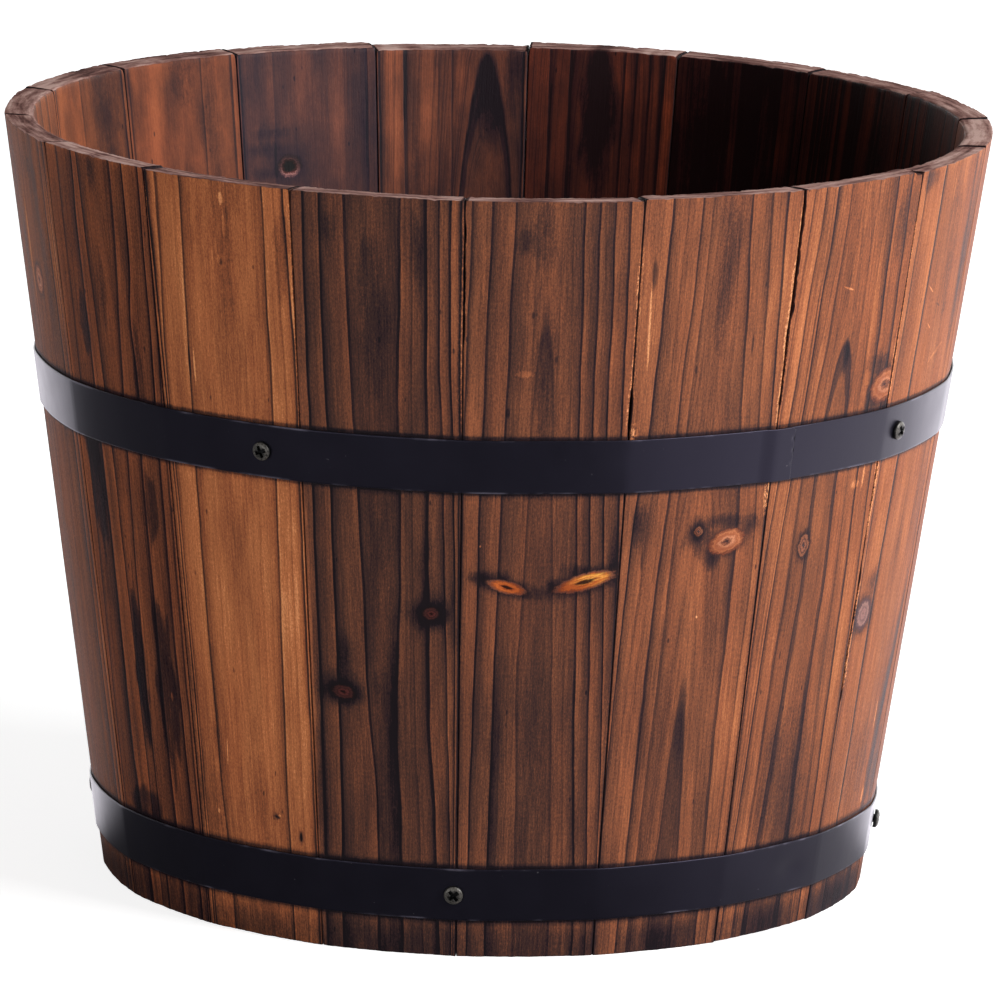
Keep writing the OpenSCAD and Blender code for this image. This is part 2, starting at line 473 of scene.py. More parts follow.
class Heart(Enum):
    """A knot's colours from its middle to its edge after the charring; a hole's black middle is painted
    shade.
    """

    EMBER = (
        (0, 96, 38, 18), (0.16, 140, 62, 27), (0.36, 196, 96, 42), (0.54, 208, 106, 46),
        (0.7, 150, 72, 38), (0.84, 148, 90, 68), (0.94, 84, 48, 38), (1, 58, 36, 32),
    )
    PALE = (
        (0, 40, 28, 32), (0.12, 66, 42, 42), (0.22, 160, 96, 68), (0.36, 216, 144, 106),
        (0.52, 162, 90, 58), (0.7, 196, 120, 80), (0.85, 128, 68, 46), (1, 72, 44, 40),
    )
    RED = (
        (0, 12, 8, 9), (0.14, 30, 13, 13), (0.3, 94, 42, 38), (0.46, 50, 24, 24),
        (0.6, 78, 38, 35), (0.78, 34, 20, 22), (1, 24, 17, 20),
    )
    GREY = (
        (0, 92, 60, 60), (0.2, 156, 112, 104), (0.4, 110, 76, 76),
        (0.6, 164, 122, 110), (0.8, 92, 62, 64), (1, 62, 40, 44),
    )
    # a knot hole drawn flat: its black middle is painted shade in the hole
    HOLE = (
        (0, 8, 4, 5), (0.44, 14, 8, 9), (0.56, 112, 58, 54),
        (0.7, 186, 128, 122), (0.86, 96, 62, 68), (1, 54, 38, 46),
    )
    DIM = (
        (0, 84, 78, 84), (0.14, 40, 28, 32), (0.32, 158, 98, 74), (0.48, 66, 40, 38),
        (0.66, 150, 92, 66), (0.84, 52, 34, 34), (1, 42, 28, 30),
    )


@dataclass(frozen=True)
class Knot:
    """A knot: its place across and up, its half sizes, its tilt in degrees and the dark halo round it.

    light is the side that glows: its share is 0 at one end of the knot and 1 at the other, and the
    sign picks the end. pull is how far the growth lines part round it, and hot how yellow it glows.
    """

    x: float
    z: float
    half_x: float
    half_z: float
    tilt: float
    heart: Heart
    halo: float = 0.8
    reach: float = 1.0
    light: float = 0.0
    pull: float = 0.24
    hot: float = 0.0


@dataclass(frozen=True)
class Mark:
    """A scratch, dent or fleck: its place, half sizes, how much darker it is, and tilt in degrees."""

    x: float
    z: float
    half_x: float
    half_z: float
    dark: float
    tilt: float = 0.0


@dataclass(frozen=True)
class Worn:
    """A stretch of pale, worn arris: -1 left or +1 right, from low to high, its strength and width."""

    edge: int
    low: float
    high: float
    amount: float
    width: float = 1.2


@dataclass(frozen=True)
class Scorch:
    """A dark patch: its place, half sizes, darkness, lean in mm per mm, and whether its edge is hard."""

    x: float
    z: float
    half_x: float
    half_z: float
    dark: float
    lean: float = 0.0
    hard: bool = False


@dataclass(frozen=True)
class Chip:
    """A stretch of worn or split edge: -1 left or +1 right, from low to high, and its depth."""

    edge: int
    low: float
    high: float
    depth: float


@dataclass(frozen=True)
class Nick:
    """A piece broken out of the rim: its place across and into the wall, its half sizes, its depth."""

    x: float
    y: float
    half_x: float
    half_y: float
    drop: float


@dataclass(frozen=True)
class Timber:
    """The figure of one stave.

    tone is the darkness of its ground from 0, pale, to 1, black. The arch gives, for each height,
    the depth in mm at which the board cuts the growth rings over the line x = pith, so that rings
    smaller than it don't show there. core is the radius inside which the rings are charred, and band
    the width of the charred ring when its inside is paler again. fine is how dark the fine lines
    are. The tints multiply its colours, and the sheens are its gloss outside and inside. On indices 4
    to 8 the inner tint also paints shade and red bounced light on the inner face, and on index 10 a
    bluish sheen. sway is the share of random waves, and foot how far its lower end stands up.
    """

    tone: float
    pith: float = 0.0
    arch: tuple[tuple[float, float], ...] = ((0.0, 14.0), (315.0, 14.0))
    core: float = 0.0
    core_dark: float = 0.35
    band: float = 0.0
    growth: tuple[Growth, ...] = ()
    knots: tuple[Knot, ...] = ()
    scorches: tuple[Scorch, ...] = ()
    chips: tuple[Chip, ...] = ()
    nicks: tuple[Nick, ...] = ()
    worn: tuple[Worn, ...] = ()
    marks: tuple[Mark, ...] = ()
    fine: float = 0.10
    tint: Triple = (1.0, 1.0, 1.0)
    inner_tint_and_painted_light: Triple | None = None
    sheen: float = 0.16
    inner_sheen: float = 0.16
    sway: float = 0.2
    foot: float = 0.0


def invented(seed: int, tone: float, lines: int) -> Timber:
    """A stave's figure for the sides that the photograph doesn't show.

    Args:
        seed: Number that picks the figure.
        tone: Darkness of its ground.
        lines: How many growth lines it has.

    Returns:
        The figure.
    """
    draw = np.random.default_rng(seed)

    def pick(*ranges: tuple[float, float]) -> list[float]:
        """One random number in each range."""
        return [float(draw.uniform(low, high)) for low, high in ranges]

    pith = pick((-9, 9))[0]
    places = np.sort(draw.uniform(-30, 30, lines))
    growth = tuple(Growth(float(x), *pick((0.6, 1.9), (0.25, 0.7), (0.5, 4))) for x in places)
    tip = pick((90, 240))[0]
    way = 1 if draw.random() > 0.4 else -1
    arch = ((0.0, 6.0 - way * tip / 26), (tip, 6.0), (315.0, 6.0 + way * (315 - tip) / 26))
    arch = tuple((z, max(depth, 0.5)) for z, depth in arch)
    patch = ((-22, 22), (60, 300), (4, 11), (14, 40), (0.1, 0.3))
    scorches = tuple(Scorch(*pick(*patch)) for _ in range(3))
    hearts = (Heart.RED, Heart.PALE, Heart.EMBER, Heart.GREY)
    spot = ((-20, 20), (60, 190), (3, 7), (2.5, 4.5), (-20, 20))
    count = int(draw.integers(0, 3))
    knots = tuple(Knot(*pick(*spot), hearts[int(draw.integers(0, 4))]) for _ in range(count))
    core = pick((2, 6))[0]
    return Timber(tone, pith, arch, core, 0.3, growth=growth, knots=knots, scorches=scorches, sway=1.0)


# The staves' figures, by their index from 0. Indices 14 to 17 and 0 to 3 face the front.
FIGURES = {
    13: Timber(
        tone=0.42, pith=20, sheen=0.05,
        growth=each(Growth, (-20, 1.2, 0.3, 2), (-8, 1.4, 0.35, 3), (6, 1.2, 0.3, 2.5)),
        scorches=each(Scorch, (0, 260, 14, 30, 0.15)),
    ),
    14: Timber(
        tone=0.425, pith=-14, sheen=0.05, fine=0.05, tint=(1.01, 1.01, 0.98),
        growth=each(Growth, (14, 1.2, 0.16, 3), (23.5, 1.4, 0.42, 2), (28.2, 1, 0.5, 1)),
        knots=each(Knot, (2.5, 252.5, 5.6, 6.4, 0, Heart.PALE, 0.3, 0.5)),
        marks=each(Mark, (-6.5, 262, 1.6, 26, -0.14), (27.6, 262, 1.6, 46, -0.3)),
        scorches=each(Scorch,
            (-13, 262, 4.5, 30, 0.16), (-6.5, 265, 2.2, 26, -0.14), (17, 250, 5, 44, 0.12),
            (20, 80, 6, 60, 0.1), (6, 300, 12, 8, 0.1), (0, 6, 40, 9, 0.2), (0, 317, 40, 3, 0.16),
        ),
    ),
    15: Timber(
        tone=0.46, pith=0, fine=0.06, tint=(1.05, 0.98, 0.94), sheen=0.06,
        growth=each(Growth,
            (-24, 1.2, 0.28, 1.4, (-23.2, -23.5, -23.6, -23.8, -24.5, -25, -26, -27.2, -28.8, -30)),
            (-13.5, 1.5, 0.46, -5, (-12, -13.5, -13.5, -13.5, -13.5, -14.2, -14.5, -15.5, -17.2, -13.5)),
            (-7, 1.2, 0.38, 1.6, (-8.5, -8.2, -7.2, -6.5, -5.8, -5.2, -5.2, -4.8, -4.8, -4.8)),
            (7, 1.5, 0.42, 1.6, (12, 11.6, 10.5, 8.8, 6.8, 4.8, 2.5, 0.8, 0.2, 0)),
            (15.5, 1.5, 0.48, 2, (19.2, 19.2, 18.8, 15.2, 17.5, 13.8, 13.2, 12.5, 12.5, 13)),
            (26.5, 1.2, 0.48, 1.6, (28.2, 27.8, 27.5, 27.5, 26.6, 25.8, 24.5, 24.2, 25, 26)),
            (30.7, 0.8, 0.4, 0.8),
        ),
        marks=each(Mark, (19, 94, 0.9, 2, -0.3)),
        scorches=each(Scorch,
            (0.2, 262, 2.4, 19, 0.18), (0, 309, 2.6, 9, 0.2), (-20.5, 174, 5.4, 24, 0.34, 0, True),
            (-20.5, 192, 5.6, 12, 0.3), (-16, 244, 3, 15, 0.26, 0, True),
            (17.5, 228, 2.6, 16, 0.22, 0, True), (17.5, 172, 3, 14, 0.26, 0, True),
            (-1.7, 104, 3.2, 34, 0.42, 0.01, True), (15.5, 98, 5.6, 32, 0.32, 0.02, True),
            (-11, 43, 11, 6.5, 0.3, 0, True), (0, 50, 40, 60, 0.08), (-30.5, 200, 1.6, 110, -0.16),
            (0, 315, 40, 2, -0.12),
        ),
        worn=each(Worn, (1, 60, 312, 0.25, 0.9)),
    ),
    16: Timber(
        tone=0.245, pith=2, fine=0.045, tint=(1.05, 0.98, 0.87),
        growth=each(Growth,
            (-29.2, 0.9, 0.7, 0.6, (-30.8, -30.5, -30.2, -29.9, -29.5, -29.2, -28.8, -28.5, -28.5, -28.8)),
            (-26.6, 1, 0.44, 0.9, (-25.8, -26.2, -27.2, -28.4, -28.6, -28.3, -28, -27.8, -27.8, -28)),
            (-16.6, 0.9, 0.44, 1.6, (-14.8, -15.2, -15.8, -16.2, -17.2, -18, -18.2, -18.2, -17.8, -15.8)),
            (20, 0.9, 0.46, 1.4, (20.2, 20.2, 20.2, 20.2, 20.2, 19.8, 19.2, 18.2, 17.2, 17)),
            (25.6, 0.7, 0.12, 1),
            (29.8, 1, 0.56, 0.8, (28.5, 29.2, 29.8, 30.7, 30.6, 30.2, 30.2, 30.2, 30.5, 30.6)),
        ),
        marks=each(Mark,
            (1.4, 281, 0.9, 1.6, 0.22), (0.4, 282, 0.9, 2.4, -0.16), (3, 307, 1.2, 3.2, -0.3),
            (3.6, 296, 0.6, 7, -0.16), (-14.3, 236, 0.5, 9, -0.34), (-16.6, 238, 0.7, 8, 0.3),
            (-13, 76, 0.4, 7, -0.3, 3), (23.2, 45, 0.7, 2.2, 0.55), (11.5, 52, 1.5, 0.7, 0.35, 20),
            (12.6, 52.8, 0.8, 0.6, -0.3), (-20.5, 50, 0.8, 1.2, -0.3),
        ),
        worn=each(Worn, (-1, 292, 313, 0.6, 2), (1, 190, 313, 0.35, 1)),
        scorches=each(Scorch,
            (-31.2, 130, 1.9, 150, 0.34), (1.5, 270, 9, 60, 0.11), (2.5, 170, 2.6, 14, 0.12),
            (1.5, 90, 8, 60, 0.08), (-2, 130, 30, 60, -0.09), (25, 120, 4, 80, -0.1),
            (-17.6, 100, 1.8, 44, 0.18), (23, 45, 0.9, 2.2, 0.5), (11, 52, 1.3, 0.8, 0.4, -0.5),
            (-23, 60, 7, 60, 0.08), (27.5, 285, 2.6, 18, 0.22, 0.05), (-2, 4, 26, 9, 0.2),
            (0, 308, 40, 30, 0.05), (0, 56, 40, 34, 0.07),
        ),
    ),
    17: Timber(
        tone=0.565, pith=-1, fine=0.045,
        arch=((0, 10), (315, 10)),
        growth=each(Growth,
            (-27.3, 1.2, 0.5, 1.4, (-26.8, -27.2, -27.5, -27.4, -27.2, -27.2, -27.5, -27.5, -27.8, -28.8)),
            (-20.2, 1.1, 0.56, 1.6, (-20.8, -21, -21.2, -20.8, -20.3, -19.5, -19.8, -19.4, -19.4, -20.8)),
            (-9.5, 1.3, 0.4, 3, (-11.8, -11.5, -11.2, -10.5, -9.8, -8.5, -7.2, -6.8, -3.4, -3.5)),
            (7.2, 1.3, 0.42, 4, (8.6, 8.5, 8.2, 7.2, 6.8, 7.8, 7.2, 4.8, 5.5, 6.5)),
            (12.5, 0.8, 0.18, 1.6, (12.8, 12.8, 12.6, 12.5, 12.5, 12.5, 12.5, 13, 14, 16.5)),
            (18, 1.4, 0.5, 1.6, (17.8, 17.8, 17.8, 17.8, 18.2, 18.5, 18, 18.2, 20.5, 23.5)),
            (23, 0.8, 0.46, 1.2, (22.5, 22.5, 22.5, 22.5, 23.8, 24.5, 25.3, 26.2, 27.8, 29.4)),
            (27, 1.1, 0.56, 1, (26.5, 26.5, 26.5, 26.8, 27.8, 28.8, 29.6, 29.8, 30, 30.2)),
            (30.5, 0.9, 0.55, 0.6, (30.4, 30.4, 30.4, 30.5, 30.5, 30.6, 30.7, 30.8, 30.9, 31)),
        ),
        knots=each(Knot,
            (19.9, 144.3, 4, 3.2, -4, Heart.RED, 0.7, 1.1, 0, 0),
            (-17.3, 108.9, 5.8, 3.5, 8, Heart.RED, 0.56, 0.9, 0, 0),
        ),
        worn=each(Worn, (1, 216, 313, 0.42, 2.4), (1, 20, 150, 0.18, 0.8)),
        marks=each(Mark, (30.6, 290, 0.35, 14, 0.5, 1)),
        scorches=each(Scorch,
            (-1, 266, 6, 30, 0.2), (-4, 290, 2.2, 8, 0.2), (15, 290, 3, 14, 0.22), (-18, 300, 5, 9, 0.16),
            (1, 70, 4, 44, 0.2), (4.4, 96, 2.2, 34, 0.24), (-1, 170, 7, 40, 0.1),
            (28.5, 262, 4.5, 46, -0.2), (27, 90, 4, 44, -0.12), (-31.4, 118, 1.3, 78, -0.34),
            (-30, 262, 2.6, 46, -0.08), (-28, 60, 1.8, 60, 0.2), (18, 168, 2.6, 18, 0.22),
            (19.9, 144, 8.5, 6.5, 0.42), (-17.3, 110, 8.5, 6, 0.34), (-17, 124, 3, 10, 0.26),
            (0, 60, 40, 60, 0.05), (0, 4, 22, 9, 0.14),
        ),
    ),
    0: Timber(
        tone=0.485, pith=-1.6, core=4.6, core_dark=0.13, fine=0.045,
        arch=(
            (0, 0.5), (188, 0.9), (221, 1.9), (240, 3.44), (250, 3.86), (260, 4.21), (271, 4.7), (285, 6.5),
            (315, 9),
        ),
        growth=each(Growth,
            (-30, 0.8, 0.4, 0.8, (-28.8, -29.2, -29.8, -30.2, -30.8, -31.2, -31.4, -31.6, -31.8, -32)),
            (-23, 1, 0.5, 2.4, (-21.8, -22.2, -22.8, -23.2, -23.5, -24.5, -24.5, -25.5, -26.5, -26.8)),
            (-14.8, 1, 0.44, 3.2, (-13.5, -14.2, -14.5, -14.8, -15.5, -15.8, -16.8, -17.2, -17.8, -18.5)),
            (-6.2, 0.6, 0.1, 2, (-6.2, -6.2, -6.2, -6.2, -6.2, -5.9, -7.2, -8.4, -6.6, -6.4)),
            (3, 0.6, 0.1, 2, (3, 3, 3, 3, 3, 3.3, 5.4, 6.8, 8.5, 10.5)),
            (8.4, 0.9, 0.16, 1.8, (6.5, 6.8, 7.5, 8.2, 8.8, 9.6, 10.2, 11.2, 13.4, 16)),
            (12, 0.9, 0.46, 3, (10.2, 10.8, 11.2, 11.5, 12.2, 12.8, 14.8, 15.8, 18.2, 21.5)),
            (17.2, 0.9, 0.46, 3, (15.8, 16.2, 16.5, 16.8, 17.5, 17.8, 20.5, 21.8, 23.8, 27.5)),
            (22.6, 0.9, 0.5, 3, (21.2, 21.5, 22.1, 22.3, 22.8, 23.2, 25.8, 27.8, 29.8, 31.1)),
            (28.2, 1, 0.56, 2.4, (26.2, 26.8, 27.2, 27.8, 28.5, 29.5, 31, 31.3, 31.5, 31.7)),
        ),
        knots=each(Knot,
            (-13.2, 156.2, 8.9, 2.9, 15, Heart.EMBER, 0.62, 0.7, -0.45, 0),
            (17.8, 158.3, 14, 3.9, -16, Heart.EMBER, 0.62, 0.6, 0.62, 0, 0.95),
        ),
        worn=each(Worn,
            (-1, 246, 306, 0.45, 1), (-1, 120, 160, 0.35, 0.8), (1, 218, 296, 0.66, 1.3),
            (1, 60, 165, 0.3, 0.9),
        ),
        marks=each(Mark,
            (-9, 244, 4, 1.6, -0.16), (-24.5, 286, 0.8, 16, -0.12), (2.5, 250, 0.7, 1.6, 0.22),
            (-6.5, 268, 0.7, 1.6, 0.25), (-14.6, 228, 0.9, 2.4, 0.28), (-24, 173, 0.5, 0.5, -0.5),
            (21, 112, 0.6, 1.2, 0.3), (-6, 205, 0.6, 1.5, 0.3),
        ),
        scorches=each(Scorch,
            (-2.8, 302, 3.6, 16, 0.24), (-10, 298, 3, 5, 0.26), (-1.6, 238, 3, 26, 0.2),
            (-24.5, 160, 4.4, 2.8, 0.4), (-15, 160.8, 5, 1.5, 0.22), (15, 163.4, 6, 2, 0.26),
            (5, 157, 3, 2.2, 0.2), (29, 168, 2.6, 8, 0.3), (26, 98, 7, 70, -0.08), (23, 262, 9, 50, -0.1),
            (-28, 200, 5, 110, -0.06), (0, 100, 6, 60, 0.05), (-16.8, 50, 2.2, 60, 0.16, 0.01),
            (19.5, 50, 2.2, 50, 0.1, -0.05), (0, 70, 40, 90, 0.06),
        ),
        chips=each(Chip, (-1, 256, 306, 0.45), (1, 217, 238, 0.5)),
    ),
    1: Timber(
        tone=0.435, pith=0.9, core=6, core_dark=0.26, fine=0.06,
        arch=(
            (0, 0), (8, 0), (50, 3.6), (70, 4.47), (90, 5.45), (110, 5.78), (118, 6.1), (160, 8.5),
            (230, 12), (315, 13),
        ),
        growth=each(Growth,
            (-24, 1, 0.52, 1.6, (-20.8, -21.2, -21.5, -22.2, -23.2, -26.8, -28.5, -29.8, -31.2, -31.5)),
            (-17.5, 0.6, 0.12, 1, (-15.2, -15.5, -15.8, -16.2, -17.5, -21, -23, -25, -26, -27)),
            (-13, 0.8, 0.4, 1.4, (-9.2, -9.8, -9.9, -11.5, -12.2, -13, -15.8, -16.5, -17.5, -20.5)),
            (-8, 1.1, 0.22, 1.8, (-5.2, -5.5, -6.2, -6.8, -8.2, -9.2, -10.2, -10.8, -12.5, -15.2)),
            (-5.1, 0.5, 0, 1, (-3.6, -3.9, -4.4, -4.8, -5.1, -5.1, -5.1, -5.1, -5.1, -5.1)),
            (6.9, 0.5, 0, 1, (6.9, 6.9, 6.9, 6.9, 6.9, 6.9, 6.9, 6.9, 6.9, 6.9)),
            (14, 1.3, 0.38, 3, (9.8, 10.8, 12.2, 12.8, 14.2, 17.8, 18.5, 18.2, 19.2, 20.2)),
            (21.5, 1, 0.24, 2.4, (18.2, 19.2, 20.2, 21.2, 22.5, 25.8, 28.2, 27, 27, 26.5)),
            (27.5, 0.9, 0.52, 1.2, (24.5, 25.2, 26.2, 26.8, 28.2, 30.8, 31.2, 31.3, 31.4, 31.5)),
        ),
        knots=each(Knot,
            (14.1, 171.6, 8.6, 5.4, -15, Heart.PALE, 0.4, 0.4, 0.5, 0),
            (1, 176.8, 2.5, 2.8, 0, Heart.DIM, 0.5, 0.8, 0.8, 0),
        ),
        worn=each(Worn,
            (1, 212, 313, 0.8, 1.4), (1, 178, 200, 0.9, 2.8), (1, 40, 170, 0.35, 1), (-1, 224, 300, 0.4, 2),
            (-1, 210, 226, 0.8, 3.4),
        ),
        marks=each(Mark,
            (-26.5, 262, 0.5, 22, -0.3, -1), (-26, 284, 1.2, 7, 0.26), (4, 141, 0.5, 0.6, -0.5),
            (-22.5, 166, 0.5, 5, 0.25), (-6.5, 244, 0.5, 2, 0.25), (16.2, 253, 0.6, 5, 0.22),
            (-8, 132, 0.5, 1.2, 0.3),
        ),
        scorches=each(Scorch,
            (3, 285, 4.2, 34, 0.22), (0.5, 175.5, 4.6, 5.6, 0.42), (8, 164.5, 3.2, 3.8, 0.44),
            (13, 180.5, 7, 2.6, 0.36), (24.5, 178.5, 4, 4.4, 0.34), (-25, 181, 3, 9, 0.4),
            (0.9, 92, 2, 15, 0.16), (20, 287, 1.8, 12, 0.12), (25, 262, 8, 50, -0.14),
            (-25, 262, 8, 50, -0.08), (26, 105, 7, 70, -0.12), (-26, 105, 6, 70, -0.06),
            (2, 3, 13, 9, 0.26), (-24, 4, 6, 9, -0.12), (26, 4, 5, 9, -0.12),
        ),
        chips=each(Chip, (-1, 217, 236, 0.5), (1, 225, 268, 0.35)),
    ),
    2: Timber(
        tone=0.365, pith=0, core=6.5, core_dark=0.36, band=1.3, fine=0.08, foot=0.35,
        arch=((0, 0), (217, 0), (222, 2.5), (230, 4.1), (240, 5.34), (247, 6.5), (262, 8.5), (315, 11)),
        growth=each(Growth,
            (-29.5, 0.7, 0.22, 1, (-26.6, -27.2, -28.2, -29.2, -30.2, -31.2, -31.4, -31.5, -31.6, -31.7)),
            (-24.5, 0.8, 0.42, 1.2, (-21.2, -21.8, -23.2, -23.8, -25.2, -27.8, -30.2, -30.8, -31, -31.2)),
            (-20.2, 0.5, 0.2, 0.8, (-17.2, -17, -18.2, -19, -20.4, -22.2, -24.4, -25.8, -27.4, -29.8)),
            (-18.5, 0.9, 0.48, 1.5, (-15.5, -15.5, -16.8, -17.5, -18.8, -20.8, -23.2, -24.5, -26.2, -28.8)),
            (-11.8, 1.3, 0.26, 2.6, (-8.2, -8.2, -9.2, -10.2, -13.6, -14.8, -15.2, -17.5, -18.3, -21)),
            (-6.5, 0.9, 0.1, 1.2, (-6.3, -6.3, -6.5, -6.5, -6.5, -7.8, -7, -9.2, -11.2, -15.2)),
            (6.5, 0.9, 0.1, 1.2, (6.5, 6.5, 6.5, 6.5, 6.3, 5.5, 7.5, 6.5, 7.2, 9.2)),
            (13.5, 0.8, 0.14, 1.6, (12, 12, 12, 12, 12.2, 12.5, 13.5, 15, 17.5, 18.5)),
            (18.2, 1, 0.46, 1.6, (16.8, 17.5, 17.8, 18.8, 18.6, 18.5, 20.5, 21.8, 22.5, 24.5)),
            (27.4, 1.1, 0.42, 1.2, (25.2, 25.8, 26.5, 27.2, 27.4, 27.5, 29.2, 30.6, 31, 31.2)),
        ),
        knots=each(Knot,
            (28, 227, 10, 7.2, -10, Heart.PALE, 0.75, 0.35, 0.4, 0),
            (-8.8, 165.3, 4, 6.2, 0, Heart.DIM, 0.5, 0.35, 0, 0),
        ),
        worn=each(Worn,
            (1, 186, 200, 1, 2.4), (1, 214, 260, 0.55, 1.4), (-1, 217, 262, 0.5, 1), (1, 90, 190, 0.4, 1),
        ),
        marks=each(Mark,
            (-3, 271, 3.5, 0.5, -0.3, 20), (18, 187, 3, 2.2, -0.24), (22.8, 190, 0.8, 6, -0.34),
            (5, 196, 0.5, 1.5, 0.3), (-14, 120, 0.5, 2, 0.25),
        ),
        scorches=each(Scorch,
            (0.9, 243, 1.8, 6, 0.34), (22, 237, 6, 4, 0.34), (18.5, 221, 3.4, 6, 0.34),
            (30, 219, 2.4, 4, 0.34), (18.6, 150, 1.2, 44, -0.18, -0.04), (-26, 160, 7, 160, -0.08),
            (0, 155, 36, 26, -0.03), (3, 66, 14, 36, 0.1), (0, 60, 24, 44, 0.12), (27, 90, 5, 60, -0.1),
            (-24, 262, 7, 50, -0.06), (24, 298, 6, 18, 0.18), (1, 300, 10, 12, 0.06), (-1, 4, 14, 10, 0.36),
        ),
        chips=each(Chip, (-1, 262, 313, 1.5), (-1, 225, 262, 0.5), (1, 90, 196, 0.3)),
        nicks=each(Nick, (29.4, 1.8, 3, 3.2, 1.1)),
    ),
    3: Timber(
        tone=0.3, pith=12, fine=0.06,
        growth=each(Growth,
            (-28, 1.1, 0.3, 1.5, (-26.5, -26.8, -27.2, -27.5, -28.2, -28.8, -28.8, -29.6, -30.4, -30.8)),
            (-13.3, 1.7, 0.48, 1.4, (-12.2, -12.2, -12.5, -12.8, -13.5, -13.5, -15.2, -14.8, -14.5, -15.5)),
            (25, 1.8, 0.22, 5, (21.5, 23.2, 23.2, 25.5, 25.5, 25.5, 27.2, 26.5, 20.2, 15)),
        ),
        knots=each(Knot, (-22.4, 128.8, 6.8, 7.2, 12, Heart.GREY, 0.52, 0.6, 0, 0)),
        worn=each(Worn, (-1, 96, 146, 0.8, 2.4), (-1, 160, 200, 0.9, 1.6), (-1, 214, 300, 0.5, 1)),
        marks=each(Mark,
            (-8, 262, 3.2, 0.45, -0.3, 35), (-4, 246, 2.4, 0.4, -0.3, 40), (2, 254, 2, 0.5, 0.2, 30),
            (8, 233, 8, 1, -0.12, -25), (13, 80, 0.7, 8, -0.36), (13.6, 45, 1.8, 4, -0.26),
            (-1, 303, 0.5, 9, -0.2),
        ),
        scorches=each(Scorch,
            (-19, 142, 5, 5, 0.28), (-28.5, 129, 1.8, 7, 0.28), (26, 278, 5.5, 40, 0.3),
            (10, 262, 3, 30, 0.1), (5, 276, 5, 26, 0.12), (-5, 70, 24, 40, 0.08), (-24, 311, 6, 5, 0.26),
            (4, 300, 6, 10, 0.08), (0, 56, 40, 30, 0.05), (21.5, 88, 4, 42, 0.36, 0.11),
            (27, 52, 7, 12, 0.36), (13, 62, 1.3, 26, -0.16), (0, 5, 40, 11, 0.56), (0, 315, 40, 2, -0.155),
        ),
        chips=each(Chip, (-1, 92, 150, 0.9), (-1, 172, 196, 0.5), (-1, 205, 300, 0.25)),
    ),
    4: Timber(
        # the inner tint here is painted shade on the inner face
        tone=0.36, pith=-4, fine=0.06, inner_tint_and_painted_light=(0.5, 0.42, 0.42),
        growth=each(Growth, (-18, 1.2, 0.35, 2), (2, 1, 0.25, 2.5), (19, 1.2, 0.35, 2)),
        scorches=each(Scorch, (8, 180, 7, 50, 0.15), (0, 315, 40, 2, -0.14)),
    ),
    12: Timber(
        tone=0.505, pith=-6, fine=0.02, inner_tint_and_painted_light=(1.02, 0.97, 0.98), inner_sheen=0.13,
        growth=each(Growth, (-29, 1.6, 0.4, 3), (3.5, 1.6, 0.14, 5), (29.5, 1.2, 0.3, 1)),
        scorches=each(Scorch, (-15, 285, 10, 90, 0.22), (26, 285, 6, 90, -0.16), (13, 285, 9, 60, -0.1)),
    ),
    11: Timber(
        tone=0.515, pith=6, fine=0.02, inner_tint_and_painted_light=(1.04, 0.94, 0.98), inner_sheen=0.14,
        growth=each(Growth, (-28.5, 1.4, 0.34, 2), (-13, 0.9, 0.24, 1.5), (29.5, 1.2, 0.3, 1)),
        scorches=each(Scorch,
            (-0.5, 306, 7, 15, 0.2), (-17, 290, 7, 60, 0.1), (16, 285, 9, 60, -0.1),
            (-28, 285, 3, 60, -0.16),
        ),
    ),
    10: Timber(
        # the inner tint makes the inner face purple-grey and paints a bluish sheen on it
        tone=0.675, pith=10, fine=0.03, inner_tint_and_painted_light=(0.94, 1, 1.45), inner_sheen=0.16,
        growth=each(Growth, (-27, 1.4, 0.24, 2), (14, 1.2, 0.12, 2), (30, 1.2, 0.4, 1)),
        knots=each(Knot, (8.8, 264.2, 5.8, 5, 0, Heart.HOLE, 0.34, 1.1, -0.9)),
        scorches=each(Scorch,
            (19, 272, 10, 3, 0.22, -0.2), (16, 279, 12, 2.6, 0.2, -0.3), (21, 262, 7, 3.4, 0.18),
            (2, 296, 5, 20, -0.14), (16, 296, 5, 16, -0.1), (-16, 290, 4, 30, -0.16),
        ),
    ),
    9: Timber(
        tone=0.58, pith=-15, core=11.5, core_dark=0.34, band=1.4, fine=0.09, inner_tint_and_painted_light=(1.04, 0.95, 1.08),
        inner_sheen=0.18,
        arch=((0, 0), (240, 0), (251, 3.4), (280, 8.7), (300, 11), (308, 11.6), (315, 12.5)),
        growth=each(Growth,
            (30.2, 1.2, 0.4, 1), (19.2, 2, 0.4, 2), (5, 1, 0.12, 2), (-0.6, 1, 0.26, 1.4),
            (-30, 1.2, 0.36, 1),
        ),
        scorches=each(Scorch,
            (-15.5, 288, 4, 16, 0.3), (-26, 300, 4, 18, 0.24), (25, 290, 3.6, 90, -0.28),
            (10, 292, 5, 22, -0.22), (15, 270, 2.4, 60, 0.14),
        ),
    ),
    8: Timber(
        # the inner tint darkens and reddens the inner face: painted shade and painted bounced red light
        tone=0.71, pith=1, fine=0.1, inner_tint_and_painted_light=(1.25, 0.74, 0.66),
        arch=((0, 1), (250, 2), (290, 5.2), (300, 6.8), (315, 8.6)),
        growth=each(Growth,
            (22, 1.6, 0.3, 2), (13.5, 1.6, 0.3, 2), (-9, 1.2, 0.3, 1.5), (-14, 1.2, 0.24, 1.5),
            (-20, 1.4, 0.24, 2), (-26, 1.4, 0.3, 1.6),
        ),
        scorches=each(Scorch,
            (1.5, 284, 5.6, 26, 0.62), (1.5, 300, 3, 12, 0.3), (-17, 290, 2.2, 60, -0.2),
            (-29, 290, 2.4, 60, -0.24), (-23, 290, 1.4, 60, -0.12),
        ),
    ),
    # their inner tints darken and redden the inner faces: painted shade and painted bounced red light
